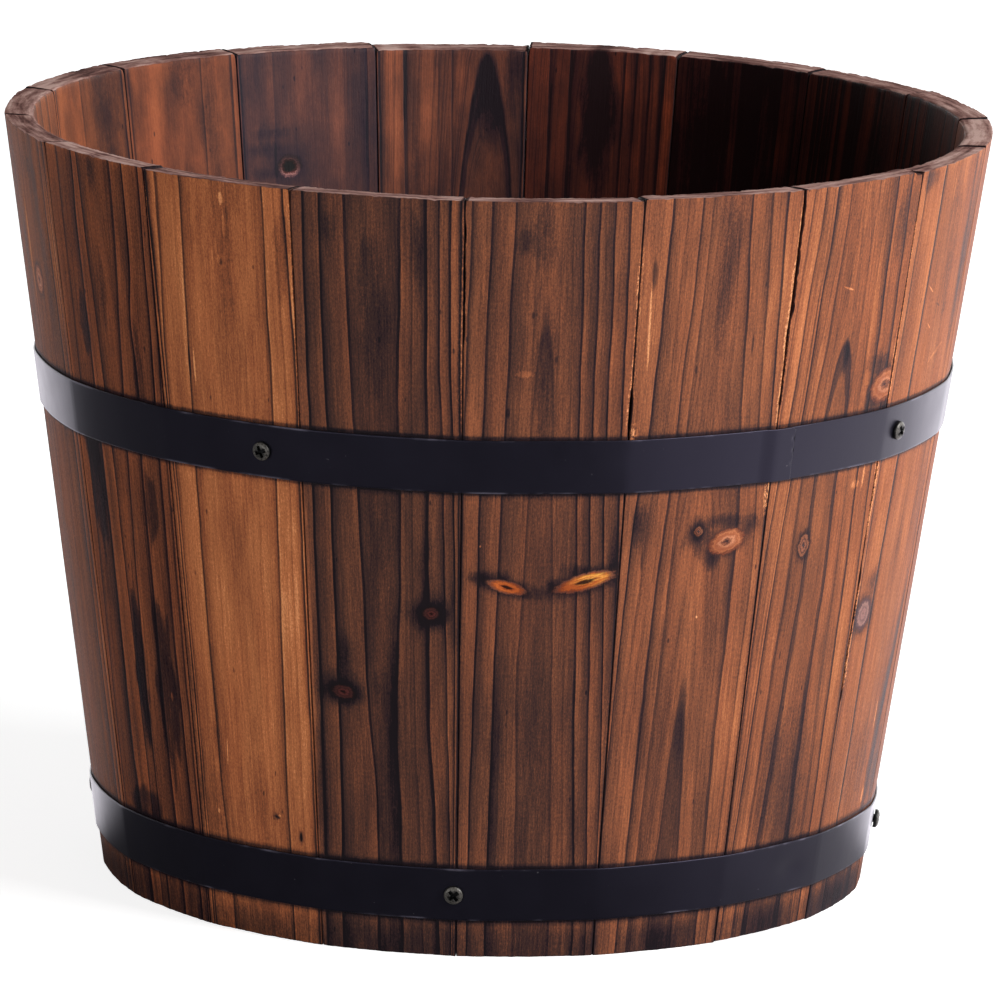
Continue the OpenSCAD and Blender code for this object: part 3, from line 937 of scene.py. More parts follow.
    7: replace(invented(71, 0.86, 6), inner_tint_and_painted_light=(1.0, 0.52, 0.42), inner_sheen=0.08),
    6: replace(invented(62, 0.74, 9), inner_tint_and_painted_light=(1.1, 0.56, 0.42), inner_sheen=0.08),
    5: replace(invented(53, 0.7, 8), inner_tint_and_painted_light=(1.1, 0.56, 0.42), inner_sheen=0.08),
}


# ---------- finishes ----------


@dataclass(frozen=True)
class CharredFir:
    """Fir that was charred, brushed and stained: dark growth lines on an orange to dark brown ground."""

    name: str
    timber: Timber
    seed: int

    CHAR = (
        (0, 236, 166, 116), (0.14, 200, 126, 81), (0.34, 158, 93, 61), (0.5, 119, 71, 50),
        (0.64, 87, 54, 43), (0.78, 63, 41, 38), (0.9, 49, 31, 35), (1, 28, 20, 26),
    )
    SAWN = (
        (0.38, 206, 172, 162), (0.51, 172, 135, 126), (0.62, 136, 100, 93),
        (0.72, 98, 68, 64), (0.94, 34, 22, 24),
    )

    def growth_heights(self, places: Array) -> Array:
        """Darkness of the growth lines at places across, less the pale wood just outside each line.

        Each line is full over its width, falls off at once on one side, and fades as
        exp(-distance / fade) on the other. The darkest line counts. Beyond its sharp side the wood is
        paler by 0.28 * dark * exp(-distance / 1.3). A quarter is added, so that 0.25 is no change.
        """
        heights = np.zeros_like(places)
        pale = np.zeros_like(places)
        for line in self.timber.growth:
            side = math.copysign(1.0, line.at - self.timber.pith) * math.copysign(1.0, line.fade)
            inward = side * (line.at - places)
            half = line.width * 0.36
            body = ease(-half - 0.18, -half + 0.06, inward) * ease(half + 0.40, half - 0.10, inward)
            shade = 0.5 * np.exp(-np.maximum(inward - half, 0) / abs(line.fade)) * (inward > 0)
            heights = np.maximum(heights, line.dark * np.maximum(body, shade))
            outside = np.exp(-np.maximum(-inward - half, 0) / 1.3) * (inward < -half)
            pale = np.maximum(pale, 0.28 * line.dark * outside)
        return 0.25 + heights - pale

    def growth_lines(self, lane: Value) -> Value:
        """Darkness of the growth lines, read from two curves, one for each half of the face."""
        reach = 34.0
        samples = 250
        left = ((lane + reach) / reach).clamped().curve(self.growth_heights(np.linspace(-reach, 0, samples)))
        right = (lane / reach).clamped().curve(self.growth_heights(np.linspace(0, reach, samples)))
        is_right = lane.sheet.calc("GREATER_THAN", lane, 0.0)
        return (left * (1.0 - is_right) + right * is_right) - 0.25

    def core(self, ring: Value, fibre: Value) -> Value:
        """Darkness of the charred rings round the pith, darkest at their rim, or only in a band there."""
        edge = self.timber.core
        core = (ring + fibre.centred(1.2)).step(edge - 0.2, edge + 0.45, self.timber.core_dark, 0.0)
        if self.timber.band > 0:
            hollow = edge - self.timber.band
            inner = (ring + fibre.centred(0.8)).step(hollow - 0.9, hollow)
            core = core * inner.step(0.0, 1.0, 0.25, 1.0)
        return core + ring.step(edge - 0.9, edge) * ring.step(edge + 0.5, edge, 0, 0.16)

    def material(self) -> bpy.types.Material:
        """Builds the finish from the mesh's grain (across, depth, height), figure and state values."""
        wood = self.timber
        s = Sheet(bpy.data.materials.new(self.name))
        grain = s.attribute("grain")
        across, _, height = grain.split()
        lane, ring, scorch_and_shade = s.attribute("figure").split()
        wear, endcut, inside = s.attribute("state").split()
        offset = 37.0 * self.seed
        moved = grain.shifted((offset, 0, offset * 1.7))
        fibre = moved.noise((1.1, 0.5, 0.04), 4, 0.6)
        hair = moved.noise((1.9, 1.0, 0.11), 4, 0.7)
        fuzz = moved.noise((1.7, 1.2, 0.75), 3, 0.8)

        wiggle = moved.noise((0.25, 0, 0.03), 2, 0.5)
        drift = moved.noise((0.02, 0.0, 0.02), 2, 0.5)
        lines = self.growth_lines(lane + wiggle.centred(0.5))
        lines = lines * (drift.step(0.28, 0.62, 0.78, 1.12) * fibre.step(0.2, 0.7, 1.1, 0.9))

        # fine latewood lines follow the rings, and differ on the two sides of the pith
        side = across.step(wood.pith - 3.0, wood.pith + 3.0, 0.0, 3.7)
        ripple = s.join(ring * 0.46, side + offset, height * 0.001).noise(1.0, 3, 0.62)
        crest = abs(ripple - 0.5)
        thin = crest.step(0.0, 0.022, 1.0, 0.0) * (wood.fine * 1.3)
        broad = crest.step(0.0, 0.12, 1.0, 0.0) * (wood.fine * 0.9)
        dark = lines + (thin + broad)
        if wood.core > 0:
            dark = dark.most(self.core(ring, fibre))

        # charred patches and the painted shade in the joints and along the hoops' edges break up along the
        # fibres
        smoke = moved.noise((0.5, 0.5, 0.22), 3, 0.6)
        ragged = scorch_and_shade + (fibre.centred(0.10) + (fuzz.centred(0.16) + smoke.centred(0.30)))
        ragged = ragged * scorch_and_shade.step(0.01, 0.14)
        dark = dark + ragged.most(0.0) + scorch_and_shade.least(0.0)

        cloud = moved.noise((0.10, 0.1, 0.016), 3, 0.5)
        shade = moved.noise((0.085, 0.1, 0.045), 3, 0.55)
        ground = fibre.centred(0.34) + (hair.centred(0.36) + fuzz.centred(0.66))
        ground = (wood.tone + cloud.centred(0.44)) + ground * inside.step(0.0, 1.0, 1.0, 0.35)
        ground = ground + shade.centred(0.42) * inside
        ticks = s.lay("TexVoronoi", {"Vector": moved.stretched((0.13, 0, 0.05)), "Scale": 1.0}, "Distance")
        dark = (ground + dark * 0.95) + ticks.step(0.03, 0.075, 0.28, 0.0)

        flat = grain.stretched((1, 0, 1))
        wobble = moved.noise((0.42, 0, 0.42), 4, 0.65).centred(1.0)
        places = [flat.seen_from(knot) for knot in wood.knots]
        for knot, place in zip(wood.knots, places):
            far = place.length() + wobble * 1.1
            halo = far.step(0.55, 1.15 + 1.15 * knot.reach, 1.0, 0.0)
            halo = halo * (far + fuzz.centred(0.5)).step(0.4, 1.3 + knot.reach, 1.2, 0.5)
            dark = dark + halo * (knot.halo * 0.62)
        for mark in wood.marks:
            far = flat.seen_from(mark).length() + fuzz.centred(0.8)
            dark = dark + far.step(0.5, 1.1, mark.dark, 0.0)

        torn_edge = moved.noise((1.3, 1.0, 0.62), 4, 0.8)
        pale = wear * (torn_edge + wear * 0.10).step(0.50, 0.64)
        dark = (dark - pale * 0.85).clamped()
        colour = dark.ramp(self.CHAR).tinted(wood.tint)
        warm = moved.noise((0.07, 0.1, 0.012), 2, 0.5)
        colour = warm.step(0.35, 0.68, 0.0, 0.35).blend(colour, colour.tinted((1.10, 0.95, 0.93)))
        # inner tint: the inner faces' colour, and on indices 4 to 8 painted shade and red bounced light
        if wood.inner_tint_and_painted_light is not None:
            colour = inside.blend(colour, colour.tinted(wood.inner_tint_and_painted_light))
        for knot, place in zip(wood.knots, places):
            colour = self.knot_colour(colour, knot, place, wobble, fuzz)

        # sawn ends: the growth rings show as streaks along the rim, between torn fibres
        arcs = moved.noise((0.05, 0.34, 0.2), 3, 0.5)
        torn = moved.noise((0.40, 1.0, 0.5), 3, 0.65)
        # the sawn ends take the charred patches and the painted shade in the joints
        end_dark = (arcs * 0.85 + torn * 0.26) + scorch_and_shade * 0.9
        rough = (dark.step(0.2, 1.0, 0.62, 0.50) + fuzz.centred(0.3)).clamped()
        relief = (fibre * 0.5 + hair * 0.35) + fuzz * 0.45
        relief = (relief + lines * -0.6) + torn * (endcut * 0.8)
        return s.finish(
            Base_Color=endcut.blend(colour, end_dark.ramp(self.SAWN)),
            Roughness=rough.most(endcut * 0.85),
            Specular_IOR_Level=inside.step(0.0, 1.0, wood.sheen, wood.inner_sheen) * (1.0 - endcut * 0.85),
            Normal=relief.bump(0.6, 0.0004),
        )

    def knot_colour(self, colour: Value, knot: Knot, place: Value, wobble: Value, fuzz: Value) -> Value:
        """Paints one knot over the wood.

        The distance from its middle is (|u|^p + |v|^p)^(1/p); p below 2 gives a knot pointed ends.

        Args:
            colour: The wood's colour.
            knot: The knot.
            place: Place as seen from the knot.
            wobble: Slow noise around 0.
            fuzz: Fine noise around 0.5.

        Returns:
            The colour with the knot in it.
        """
        u, _, v = place.split()
        p = {Heart.EMBER: 1.85, Heart.DIM: 1.35}.get(knot.heart, 2.0)
        far = (abs(u) ** p + abs(v) ** p) ** (1 / p)
        streaks = place.noise((1.6, 0, 7.0), 4, 0.7, 0.5)
        uneven = far + (wobble * 0.5 + fuzz.centred(0.36))
        along_grain = knot.heart is Heart.EMBER
        is_hole = knot.heart is Heart.HOLE
        smudged = along_grain or knot.heart in (Heart.RED, Heart.DIM)
        ringed = uneven + streaks.centred(0.62 if smudged else 0.34)
        if not smudged:
            ringed = ringed + place.sheet.calc("SINE", uneven * 19.0) * 0.05
        painted = ringed.ramp(knot.heart.value)
        along = (v if is_hole else u + v * 0.5) * math.copysign(1.0, knot.light)
        # on a hole, light and unlit paint a lit and a shaded side of its ring
        if knot.light:
            low = -0.1 if is_hole else -0.8
            glow = (along + streaks.centred(0.8)).step(low, 0.7, 1 - abs(knot.light), 1.0)
            unlit = (0.10, 0.07, 0.08) if is_hole else (0.46, 0.33, 0.30)
            painted = glow.blend(painted.tinted(unlit), painted)
        if knot.hot:
            hot = along.step(-0.5, 0.5) * streaks.step(0.40, 0.60)
            hot = hot * (far.step(0.86, 0.50) * knot.hot)
            painted = hot.blend(painted, srgb(252, 184, 84))
        if along_grain:
            inner = place.stretched((3.4, 0, 4.4)).length()
            slit = (inner + streaks.centred(1.1)).step(0.60, 1.20, 1.0, 0.0)
            painted = (slit * 0.94).blend(painted, srgb(40, 15, 9))
        near = 0.62 if along_grain else 0.76
        return uneven.step(near, 1.20, 1.0, 0.0).blend(colour, painted)


@dataclass(frozen=True)
class SatinStrapPaint:
    """Thin satin black paint on hot rolled strap, with dust and bare edges."""

    name: str = "satin_strap_paint"

    def material(self) -> bpy.types.Material:
        """Builds the finish. The strap's state values are (edge wear, unused, unused)."""
        s = Sheet(bpy.data.materials.new(self.name))
        place = s.place()
        edge, _, _ = s.attribute("state").split()
        cloud = place.noise(60, 3, 0.55)
        grit = place.noise(1400, 2, 0.6)
        speck = place.noise(620, 1, 0.4).step(0.80, 0.84)
        bare = edge * place.noise(45, 3, 0.6).step(0.52, 0.66)
        base = cloud.blend(srgb(17, 16, 22), srgb(23, 22, 30))
        base = (speck * 0.30).blend(base, srgb(150, 145, 150))
        return s.finish(
            Base_Color=(bare * 0.6).blend(base, srgb(110, 106, 120)),
            Roughness=0.31 + cloud.centred(0.12),
            Specular_IOR_Level=0.46,
            Specular_Tint=srgb(222, 214, 255),
            Normal=(grit * 0.2 + cloud).bump(0.22, 0.0003),
        )


@dataclass(frozen=True)
class BlackOxide:
    """Black oxide on the screws, worn to grey on the high places."""

    name: str = "black_oxide"

    def material(self) -> bpy.types.Material:
        """Builds the finish. The head's state values are (high place, unused, unused)."""
        s = Sheet(bpy.data.materials.new(self.name))
        high, _, _ = s.attribute("state").split()
        grit = s.place().noise(1900, 3, 0.6)
        return s.finish(
            Base_Color=(high * grit.step(0.25, 0.6)).blend(srgb(7, 7, 8), srgb(104, 100, 95)),
            Metallic=0.35,
            Roughness=grit.step(0.3, 0.7, 0.30, 0.48),
            Specular_IOR_Level=0.5,
            Normal=grit.bump(0.2, 0.0002),
        )


@dataclass(frozen=True)
class BoardFir:
    """Rough sawn, stained fir of the floor boards and dowels, with its grain along X."""

    name: str
    pale: Colour
    deep: Colour

    def material(self) -> bpy.types.Material:
        """Builds the finish from Object coordinates."""
        s = Sheet(bpy.data.materials.new(self.name))
        place = s.place()
        fibre = place.noise((25, 700, 700), 4, 0.62)
        rings = place.noise((1.5, 120, 30), 3, 0.55, 0.2)
        crest = abs(rings - 0.5).step(0.0, 0.05, 1.0, 0.0)
        saw = place.noise((260, 12, 12), 2, 0.5)
        dark = (fibre * 0.55 + crest * 0.38) + place.noise(16, 3, 0.5) * 0.5
        return s.finish(
            Base_Color=dark.step(0.35, 1.05).blend(self.pale, self.deep),
            Roughness=fibre.step(0.3, 0.7, 0.62, 0.8),
            Specular_IOR_Level=0.3,
            Normal=(fibre * 0.6 + saw * 0.5).bump(0.5, 0.0005),
        )


# ---------- the ring of staves ----------


@dataclass
class Stave:
    """One stave as a closed surface with worn arrises, a sawn top and foot and the floor's groove."""

    index: int
    timber: Timber
    trim: int
    joint_gap: float = 0.10
    arris: float = 0.5
    inner_arris: float = 0.6
    end_arris: float = 0.45
    end_zone: float = 2.2
    end_wear: float = 0.36
    groove_low: float = 40.5
    groove_high: float = 47.5
    groove_depth: float = 4.0
    hoop_edges: tuple[float, ...] = (217.2, 194.8, 38.0, 15.6)
    row_pitch: float = 1.95
    row_margin: float = 3.2
    end_rows: tuple[float, ...] = (0, 0.12, 0.28, 0.5, 0.9, 1.6)
    hoop_rows: tuple[float, ...] = (-1.2, -0.6, 0.0, 0.6, 1.2)
    groove_rows: tuple[float, ...] = (-0.05, 0.05)
    column_count: int = 74
    edge_columns: tuple[float, ...] = (0, 0.2, 0.45, 0.8, 1.3)
    column_margin: float = 2.0
    side_depths: tuple[float, ...] = (0, 0.2, 0.45, 0.8, 1.4, 3.0, 5.2, 7.6, 9.8, 11.0, 11.5, 11.78, 12.0)

    @property
    def name(self) -> str:
        """Name of the stave's CAD node."""
        return f"stave_{self.index + 1:02d}"

    @property
    def top(self) -> float:
        """Height of its upper end."""
        return CASK.height - self.trim * CASK.trim_step

    def rows(self) -> Array:
        """Heights of the rows of points: close at both ends, the groove's walls and the hoops' edges."""
        ends = np.array(self.end_rows)
        count = int((self.top - 2 * self.row_margin) / self.row_pitch) + 1
        inner = np.linspace(self.row_margin, self.top - self.row_margin, count)
        walls = np.array([self.groove_low, self.groove_high])
        steps = (walls[:, None] + np.array(self.groove_rows)).ravel()
        edges = (np.array(self.hoop_edges)[:, None] + np.array(self.hoop_rows)).ravel()
        for taken, room in ((walls, 0.5), (edges, 0.3)):
            inner = inner[np.abs(inner[:, None] - taken).min(axis=1) > room]
        return np.sort(np.concatenate([ends, inner, steps, edges, self.top - ends]))

    def across_shares(self) -> tuple[Array, Array]:
        """Columns as offsets in mm from shares of the width, and those shares; closer at both edges."""
        close = np.array(self.edge_columns)
        middle = np.linspace(0, 1, self.column_count - 2 * len(close))
        offsets = np.concatenate([close, self.column_margin * (1 - 2 * middle), -close[::-1]])
        shares = np.concatenate([0 * close, middle, 0 * close + 1])
        return offsets, shares

    def depths(self) -> Array:
        """Depths of the points of a side, from the outer to the inner face."""
        return np.array(self.side_depths) * CASK.wall / self.side_depths[-1]

    def block(self) -> tuple[Array, Array, Array, Array, Array]:
        """The points of a square-edged stave, and its faces.

        Returns:
            Offset in mm from the share's place; share of the width from 0 to 1; depth; height; and
            the faces.
        """
        offsets, shares = self.across_shares()
        depths = self.depths()
        rows = self.rows()
        columns, row_count, inner = len(offsets), len(rows), len(depths) - 2
        blank = np.zeros(inner)
        loop_offset = np.concatenate([offsets, blank + offsets[-1], offsets[::-1], blank])
        loop_share = np.concatenate([shares, blank + 1, shares[::-1], blank])
        loop_depth = np.concatenate([0 * offsets, depths[1:-1], 0 * offsets + depths[-1], depths[-2:0:-1]])
        around = len(loop_depth)
        loop = [np.tile(values, row_count) for values in (loop_offset, loop_share, loop_depth)]
        faces = [tube_faces(row_count, around)]
        parts = [np.stack([*loop, np.repeat(rows, around)], -1)]
        start = row_count * around
        cap_offset = np.repeat(offsets[1:-1], inner)
        cap_share = np.repeat(shares[1:-1], inner)
        cap_depth = np.tile(depths[1:-1], columns - 2)
        for row, z in ((0, rows[0]), (row_count - 1, rows[-1])):
            front = row * around + np.arange(columns)
            right = front[-1] + 1 + np.arange(inner)
            back = right[-1] + 1 + np.arange(columns)
            left = back[-1] + 1 + np.arange(inner)
            numbers = np.zeros((columns, inner + 2), np.int64)
            numbers[:, 0] = front
            numbers[-1, 1:-1] = right
            numbers[:, -1] = back[::-1]
            numbers[0, 1:-1] = left[::-1]
            numbers[1:-1, 1:-1] = start + np.arange(cap_depth.size).reshape(columns - 2, inner)
            start += cap_depth.size
            parts.append(np.stack([cap_offset, cap_share, cap_depth, 0 * cap_depth + z], -1))
            cap = sheet_faces(numbers)
            faces.append(cap if row else cap[:, ::-1])
        return *np.concatenate(parts).T, np.concatenate(faces)

    def eased(self, x: Array, y: Array, z: Array, width: Array) -> tuple[Array, Array, Array]:
        """Rounds all edges of the block.

        A point p is measured from c, p clamped to stand one radius inside every face, and moves to
        c + radius * (p - c) / |p - c|. The radius changes along the edges, as hand work leaves it.
        """
        seed = 100 + self.index
        left = x < width / 2
        worn = 1 + 0.35 * lattice_noise(z / 23, np.where(left, 3.0, 9.0), seed)
        worn += 0.12 * lattice_noise(z / 6, np.where(left, 5.0, 12.0), seed)
        radius = np.where(y < CASK.wall / 2, self.arris * worn, self.inner_arris)
        ends = np.minimum(z, self.top - z)
        chipped = 1 + 0.5 * lattice_noise(x / 3.2, y / 3.0, seed + 7)
        end_radius = self.end_arris * chipped + 0.9 * ease(7.0, 11.0, y) * (z > self.top / 2)
        radius = radius + (end_radius - radius) * ease(3.4, 1.2, ends)
        p = np.stack([x, y, z])
        c = np.clip(p, radius, np.stack([width, CASK.wall + 0 * y, self.top + 0 * z]) - radius)
        away = p - c
        length = np.maximum(np.sqrt((away**2).sum(axis=0)), 1e-9)
        return tuple(c + radius * away / length)

    def lanes(self, across: Array, z: Array) -> Array:
        """Place of each point between the growth lines.

        Between the edges and the lines' ways the lane follows the place across in straight shares.
        Slow waves sway it, and it spreads round each knot as
        (x - knot) * (1 - pull exp(-(dx / 1.8 half_x)^2 - (dz / 2.4 half_z)^2)).
        """
        timber = self.timber
        seed = 400 + self.index
        x = across.copy()
        for knot in timber.knots:
            dx = across - knot.x
            dz = z - knot.z
            near = np.exp(-((dx / (1.8 * knot.half_x)) ** 2) - (dz / (2.4 * max(knot.half_z, 3))) ** 2)
            x = x - dx * knot.pull * near
        edge = HALF_FACE + 4
        ways = [(-edge, np.full_like(z, -edge))]
        for line in sorted(timber.growth, key=lambda g: g.at):
            if line.way:
                steps = (-9, -6, -3, 0, 3, 6, 9)
                eased = [np.interp(z + step, LINE_HEIGHTS[::-1], line.way[::-1]) for step in steps]
                ways.append((line.at, sum(eased) / len(eased)))
        ways.append((edge, np.full_like(z, edge)))
        lane = x.copy()
        for (lane_a, place_a), (lane_b, place_b) in zip(ways[:-1], ways[1:]):
            share = (x - place_a) / (place_b - place_a)
            lane = np.where((share >= 0) & (share <= 1), lane_a + share * (lane_b - lane_a), lane)
        sway = 0.65 * lattice_noise(z / 85, 1.5, seed)
        ripple = 0.24 * lattice_noise(z / 30, across / 18, seed + 1)
        ripple += 0.12 * lattice_noise(z / 9, across / 7, seed + 2)
        return lane + timber.sway * sway + ripple

    def figure(self, across: Array, z: Array) -> Array:
        """Lane, ring and charred patches of each point; surface() adds the painted shade to the last.

        The ring is sqrt((lane - pith)^2 + arch(z)^2), the distance from the pith in mm. The charring is
        the sum of the patches, each dark * exp(-(distance in its half sizes)^2), with an uneven edge.
        """
        timber = self.timber
        lane = self.lanes(across, z)
        deep = np.interp(z, *zip(*timber.arch))
        deep = np.maximum(deep + 0.35 * lattice_noise(z / 22, 0, 500 + self.index), 0)
        ring = np.sqrt((lane - timber.pith) ** 2 + deep**2)
        scorch_and_shade = np.zeros_like(z)
        for number, patch in enumerate(timber.scorches):
            seed = 600 + 20 * self.index + number
            dx = (across - patch.x - patch.lean * (z - patch.z)) / patch.half_x
            dz = (z - patch.z) / patch.half_z
            far = dx**2 + dz**2
            uneven = 1 + 0.5 * lattice_noise(across / 3.0, z / 14, seed)
            uneven += 0.3 * lattice_noise(across / 1.3, z / 9, seed + 5)
            far = far * np.maximum(uneven, 0.2)
            scorch_and_shade = scorch_and_shade + patch.dark * (ease(1.35, 0.65, far) if patch.hard else np.exp(-far))
        return np.stack([lane, ring, scorch_and_shade], -1)

    def painted_shade_and_dark_foot(self, x: Array, y: Array, z: Array, width: Array) -> Array:
        """Painted shade in the joints between the staves and along both edges of each hoop, and darker
        towards the foot.
        """
        side = np.minimum(x, width - x)
        end = ease(0.4, 0.1, self.top - z)
        # painted shade in the joints, on the faces and across the sawn ends
        joint = 0.50 * ease(0.45, 0.05, side) + 0.5 * ease(1.2, 0.6, side) * end
        front = ease(1.5, 0.5, y)
        # painted shadow along both edges of each hoop, on the outer face
        edges = sum(ease(1.7, 0.3, np.abs(z - edge)) for edge in self.hoop_edges)
        # darker towards the foot, on the outer face
        foot = 0.14 * ease(18.0, 5.0, z) * front
        return joint + 0.42 * edges * front + foot

    def edge_gap(self, z: Array, y: Array, edge: int) -> Array:
        """How far in mm the stave's edge stands back from the joint, with its chips."""
        seed = 700 + 2 * self.index + (edge > 0)
        gap = self.joint_gap + 0.05 * lattice_noise(z / 40, 0, seed) + 0.25 * ease(308.0, 315.0, z)
        for chip in self.timber.chips:
            if chip.edge == edge:
                inside = ease(chip.low - 2, chip.low + 4, z) * ease(chip.high + 2, chip.high - 4, z)
                torn = 0.75 + 0.35 * lattice_noise(z / 6, 0, seed + 3)
                torn += 0.25 * lattice_noise(z / 2.4, 0, seed + 4)
                gap = gap + chip.depth * inside * torn * ease(5.0, 1.0, y)
        return gap

    def surface(self) -> Surface:
        """The stave's surface with its grain, figure and state values."""
        offset, share, y, z, faces = self.block()
        width = CASK.face_width(z)
        x = np.where(share == 1.0, width + offset, offset + share * width)
        flat_x, flat_y, flat_z = x, y, z
        x, y, z = self.eased(x, y, z, width)
        width = CASK.face_width(z)
        left = self.edge_gap(z, y, -1)
        right = self.edge_gap(z, y, 1)
        share = left / width + x / width * (1 - (left + right) / width)
        t = 2 * share - 1
        across = t * HALF_FACE
        seed = 200 + self.index
        groove = ((z > self.groove_low) & (z < self.groove_high)).astype(float)
        y_cut = y * (1 - groove * self.groove_depth / CASK.wall)
        radius = CASK.outer(z) - 0.06 - y_cut
        outer_share = np.clip(1 - y / CASK.wall, 0, 1)
        relief = 0.10 * lattice_noise(across / 9, z / 55, seed)
        relief += 0.05 * lattice_noise(across / 3.5, z / 26, seed + 1)
        radius = radius - (CASK.face_flat * (1 - t**2) + 0.04 + relief) * outer_share
        ends = ease(self.end_zone, 0.0, self.top - flat_z)
        feet = ease(self.end_zone, 0.0, flat_z)
        rough = 0.11 * lattice_noise(across / 6.5, y / 6, seed + 2)
        rough += 0.08 * lattice_noise(across / 1.7, y / 4.2, seed + 3)
        rough += 0.09 * lattice_noise(across / 0.9, y / 2.2, seed + 4)
        notch = np.maximum(lattice_noise(across / 2.6, 0, seed + 5) - 0.45, 0) * ease(4.0, 0.0, y) * 0.9
        notch += np.maximum(lattice_noise(across / 3.1, 0, seed + 6) - 0.45, 0) * ease(8.5, 12.0, y) * 0.7
        slope = 0.04 * y
        broken = 0 * z
        for nick in self.timber.nicks:
            far = ((across - nick.x) / nick.half_x) ** 2 + ((y - nick.y) / nick.half_y) ** 2
            broken = broken + nick.drop * ease(1.3, 0.6, far)
        z = z - ends * (self.end_wear + rough + notch + slope + broken)
        z = z + feet * np.maximum(0.10 + 0.6 * rough, 0) + self.timber.foot * ease(14.0, 0.0, z)
        bearing = CASK.middle(self.index) + t * CASK.span / 2
        points = ring_points(bearing, radius, z)
        figure = self.figure(across, z)
        # adds painted shade at the joints and hoop edges, the darker foot and darker nicks
        figure[:, 2] += self.painted_shade_and_dark_foot(flat_x, flat_y, flat_z, width) + 0.16 * ends * broken
        values = {
            "grain": np.stack([across, y, z], -1),
            "figure": figure,
            "state": self.state(flat_x, flat_y, flat_z, width),
        }
        return Surface(points, faces, values).outward()

    def state(self, x: Array, y: Array, z: Array, width: Array) -> Array:
        """Wear of the arrises, share of sawn end and share of inner face at each point."""
        wear = 0 * z
        for worn in self.timber.worn:
            side = x if worn.edge < 0 else width - x
            ragged = 1 + 0.5 * lattice_noise(z / 9, worn.edge, 800 + self.index)
            stretch = ease(worn.low - 3, worn.low + 9, z) * ease(worn.high + 3, worn.high - 9, z)
            band = ease(worn.width * ragged, worn.width * ragged * 0.25, side) * ease(3.5, 1.0, y)
            wear = np.maximum(wear, worn.amount * stretch * band)
        end = ((z <= 0) | (z >= self.top)).astype(float)
        end = np.maximum(end, ease(0.30, 0.0, np.minimum(z, self.top - z)))
        inside = ease(CASK.wall * 0.6, CASK.wall * 0.95, y)
        return np.stack([wear, end, inside], -1)

    def build(self) -> bpy.types.Object:
        """Builds the stave and stands it for its CAD node."""
        finish = CharredFir(f"charred_fir_{self.index + 1:02d}", self.timber, self.index + 1)
        piece = self.surface().to_object(f"{self.name}_charred", finish.material())
        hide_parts(self.name)
        return piece


@dataclass
class StaveRing:
    """The 18 staves, each with its own figure."""

    trims: tuple[int, ...] = (2, 0, 0, 2, 1, 0, 2, 1, 1, 6, 2, 1, 1, 1, 1, 0, 2, 2)

    def build(self) -> list[bpy.types.Object]:
        """Builds all staves in order."""
        return [Stave(i, FIGURES[i], trim).build() for i, trim in enumerate(self.trims)]


# ---------- hoops ----------


def sagged(bearing: Array, depth: float) -> Array:
    """How far in mm a hoop hangs down at a bearing: a bell of the given depth at the right side."""
    return depth * np.exp(-(((np.mod(bearing, 360) - SAG_BEARING) / SAG_REACH) ** 2))


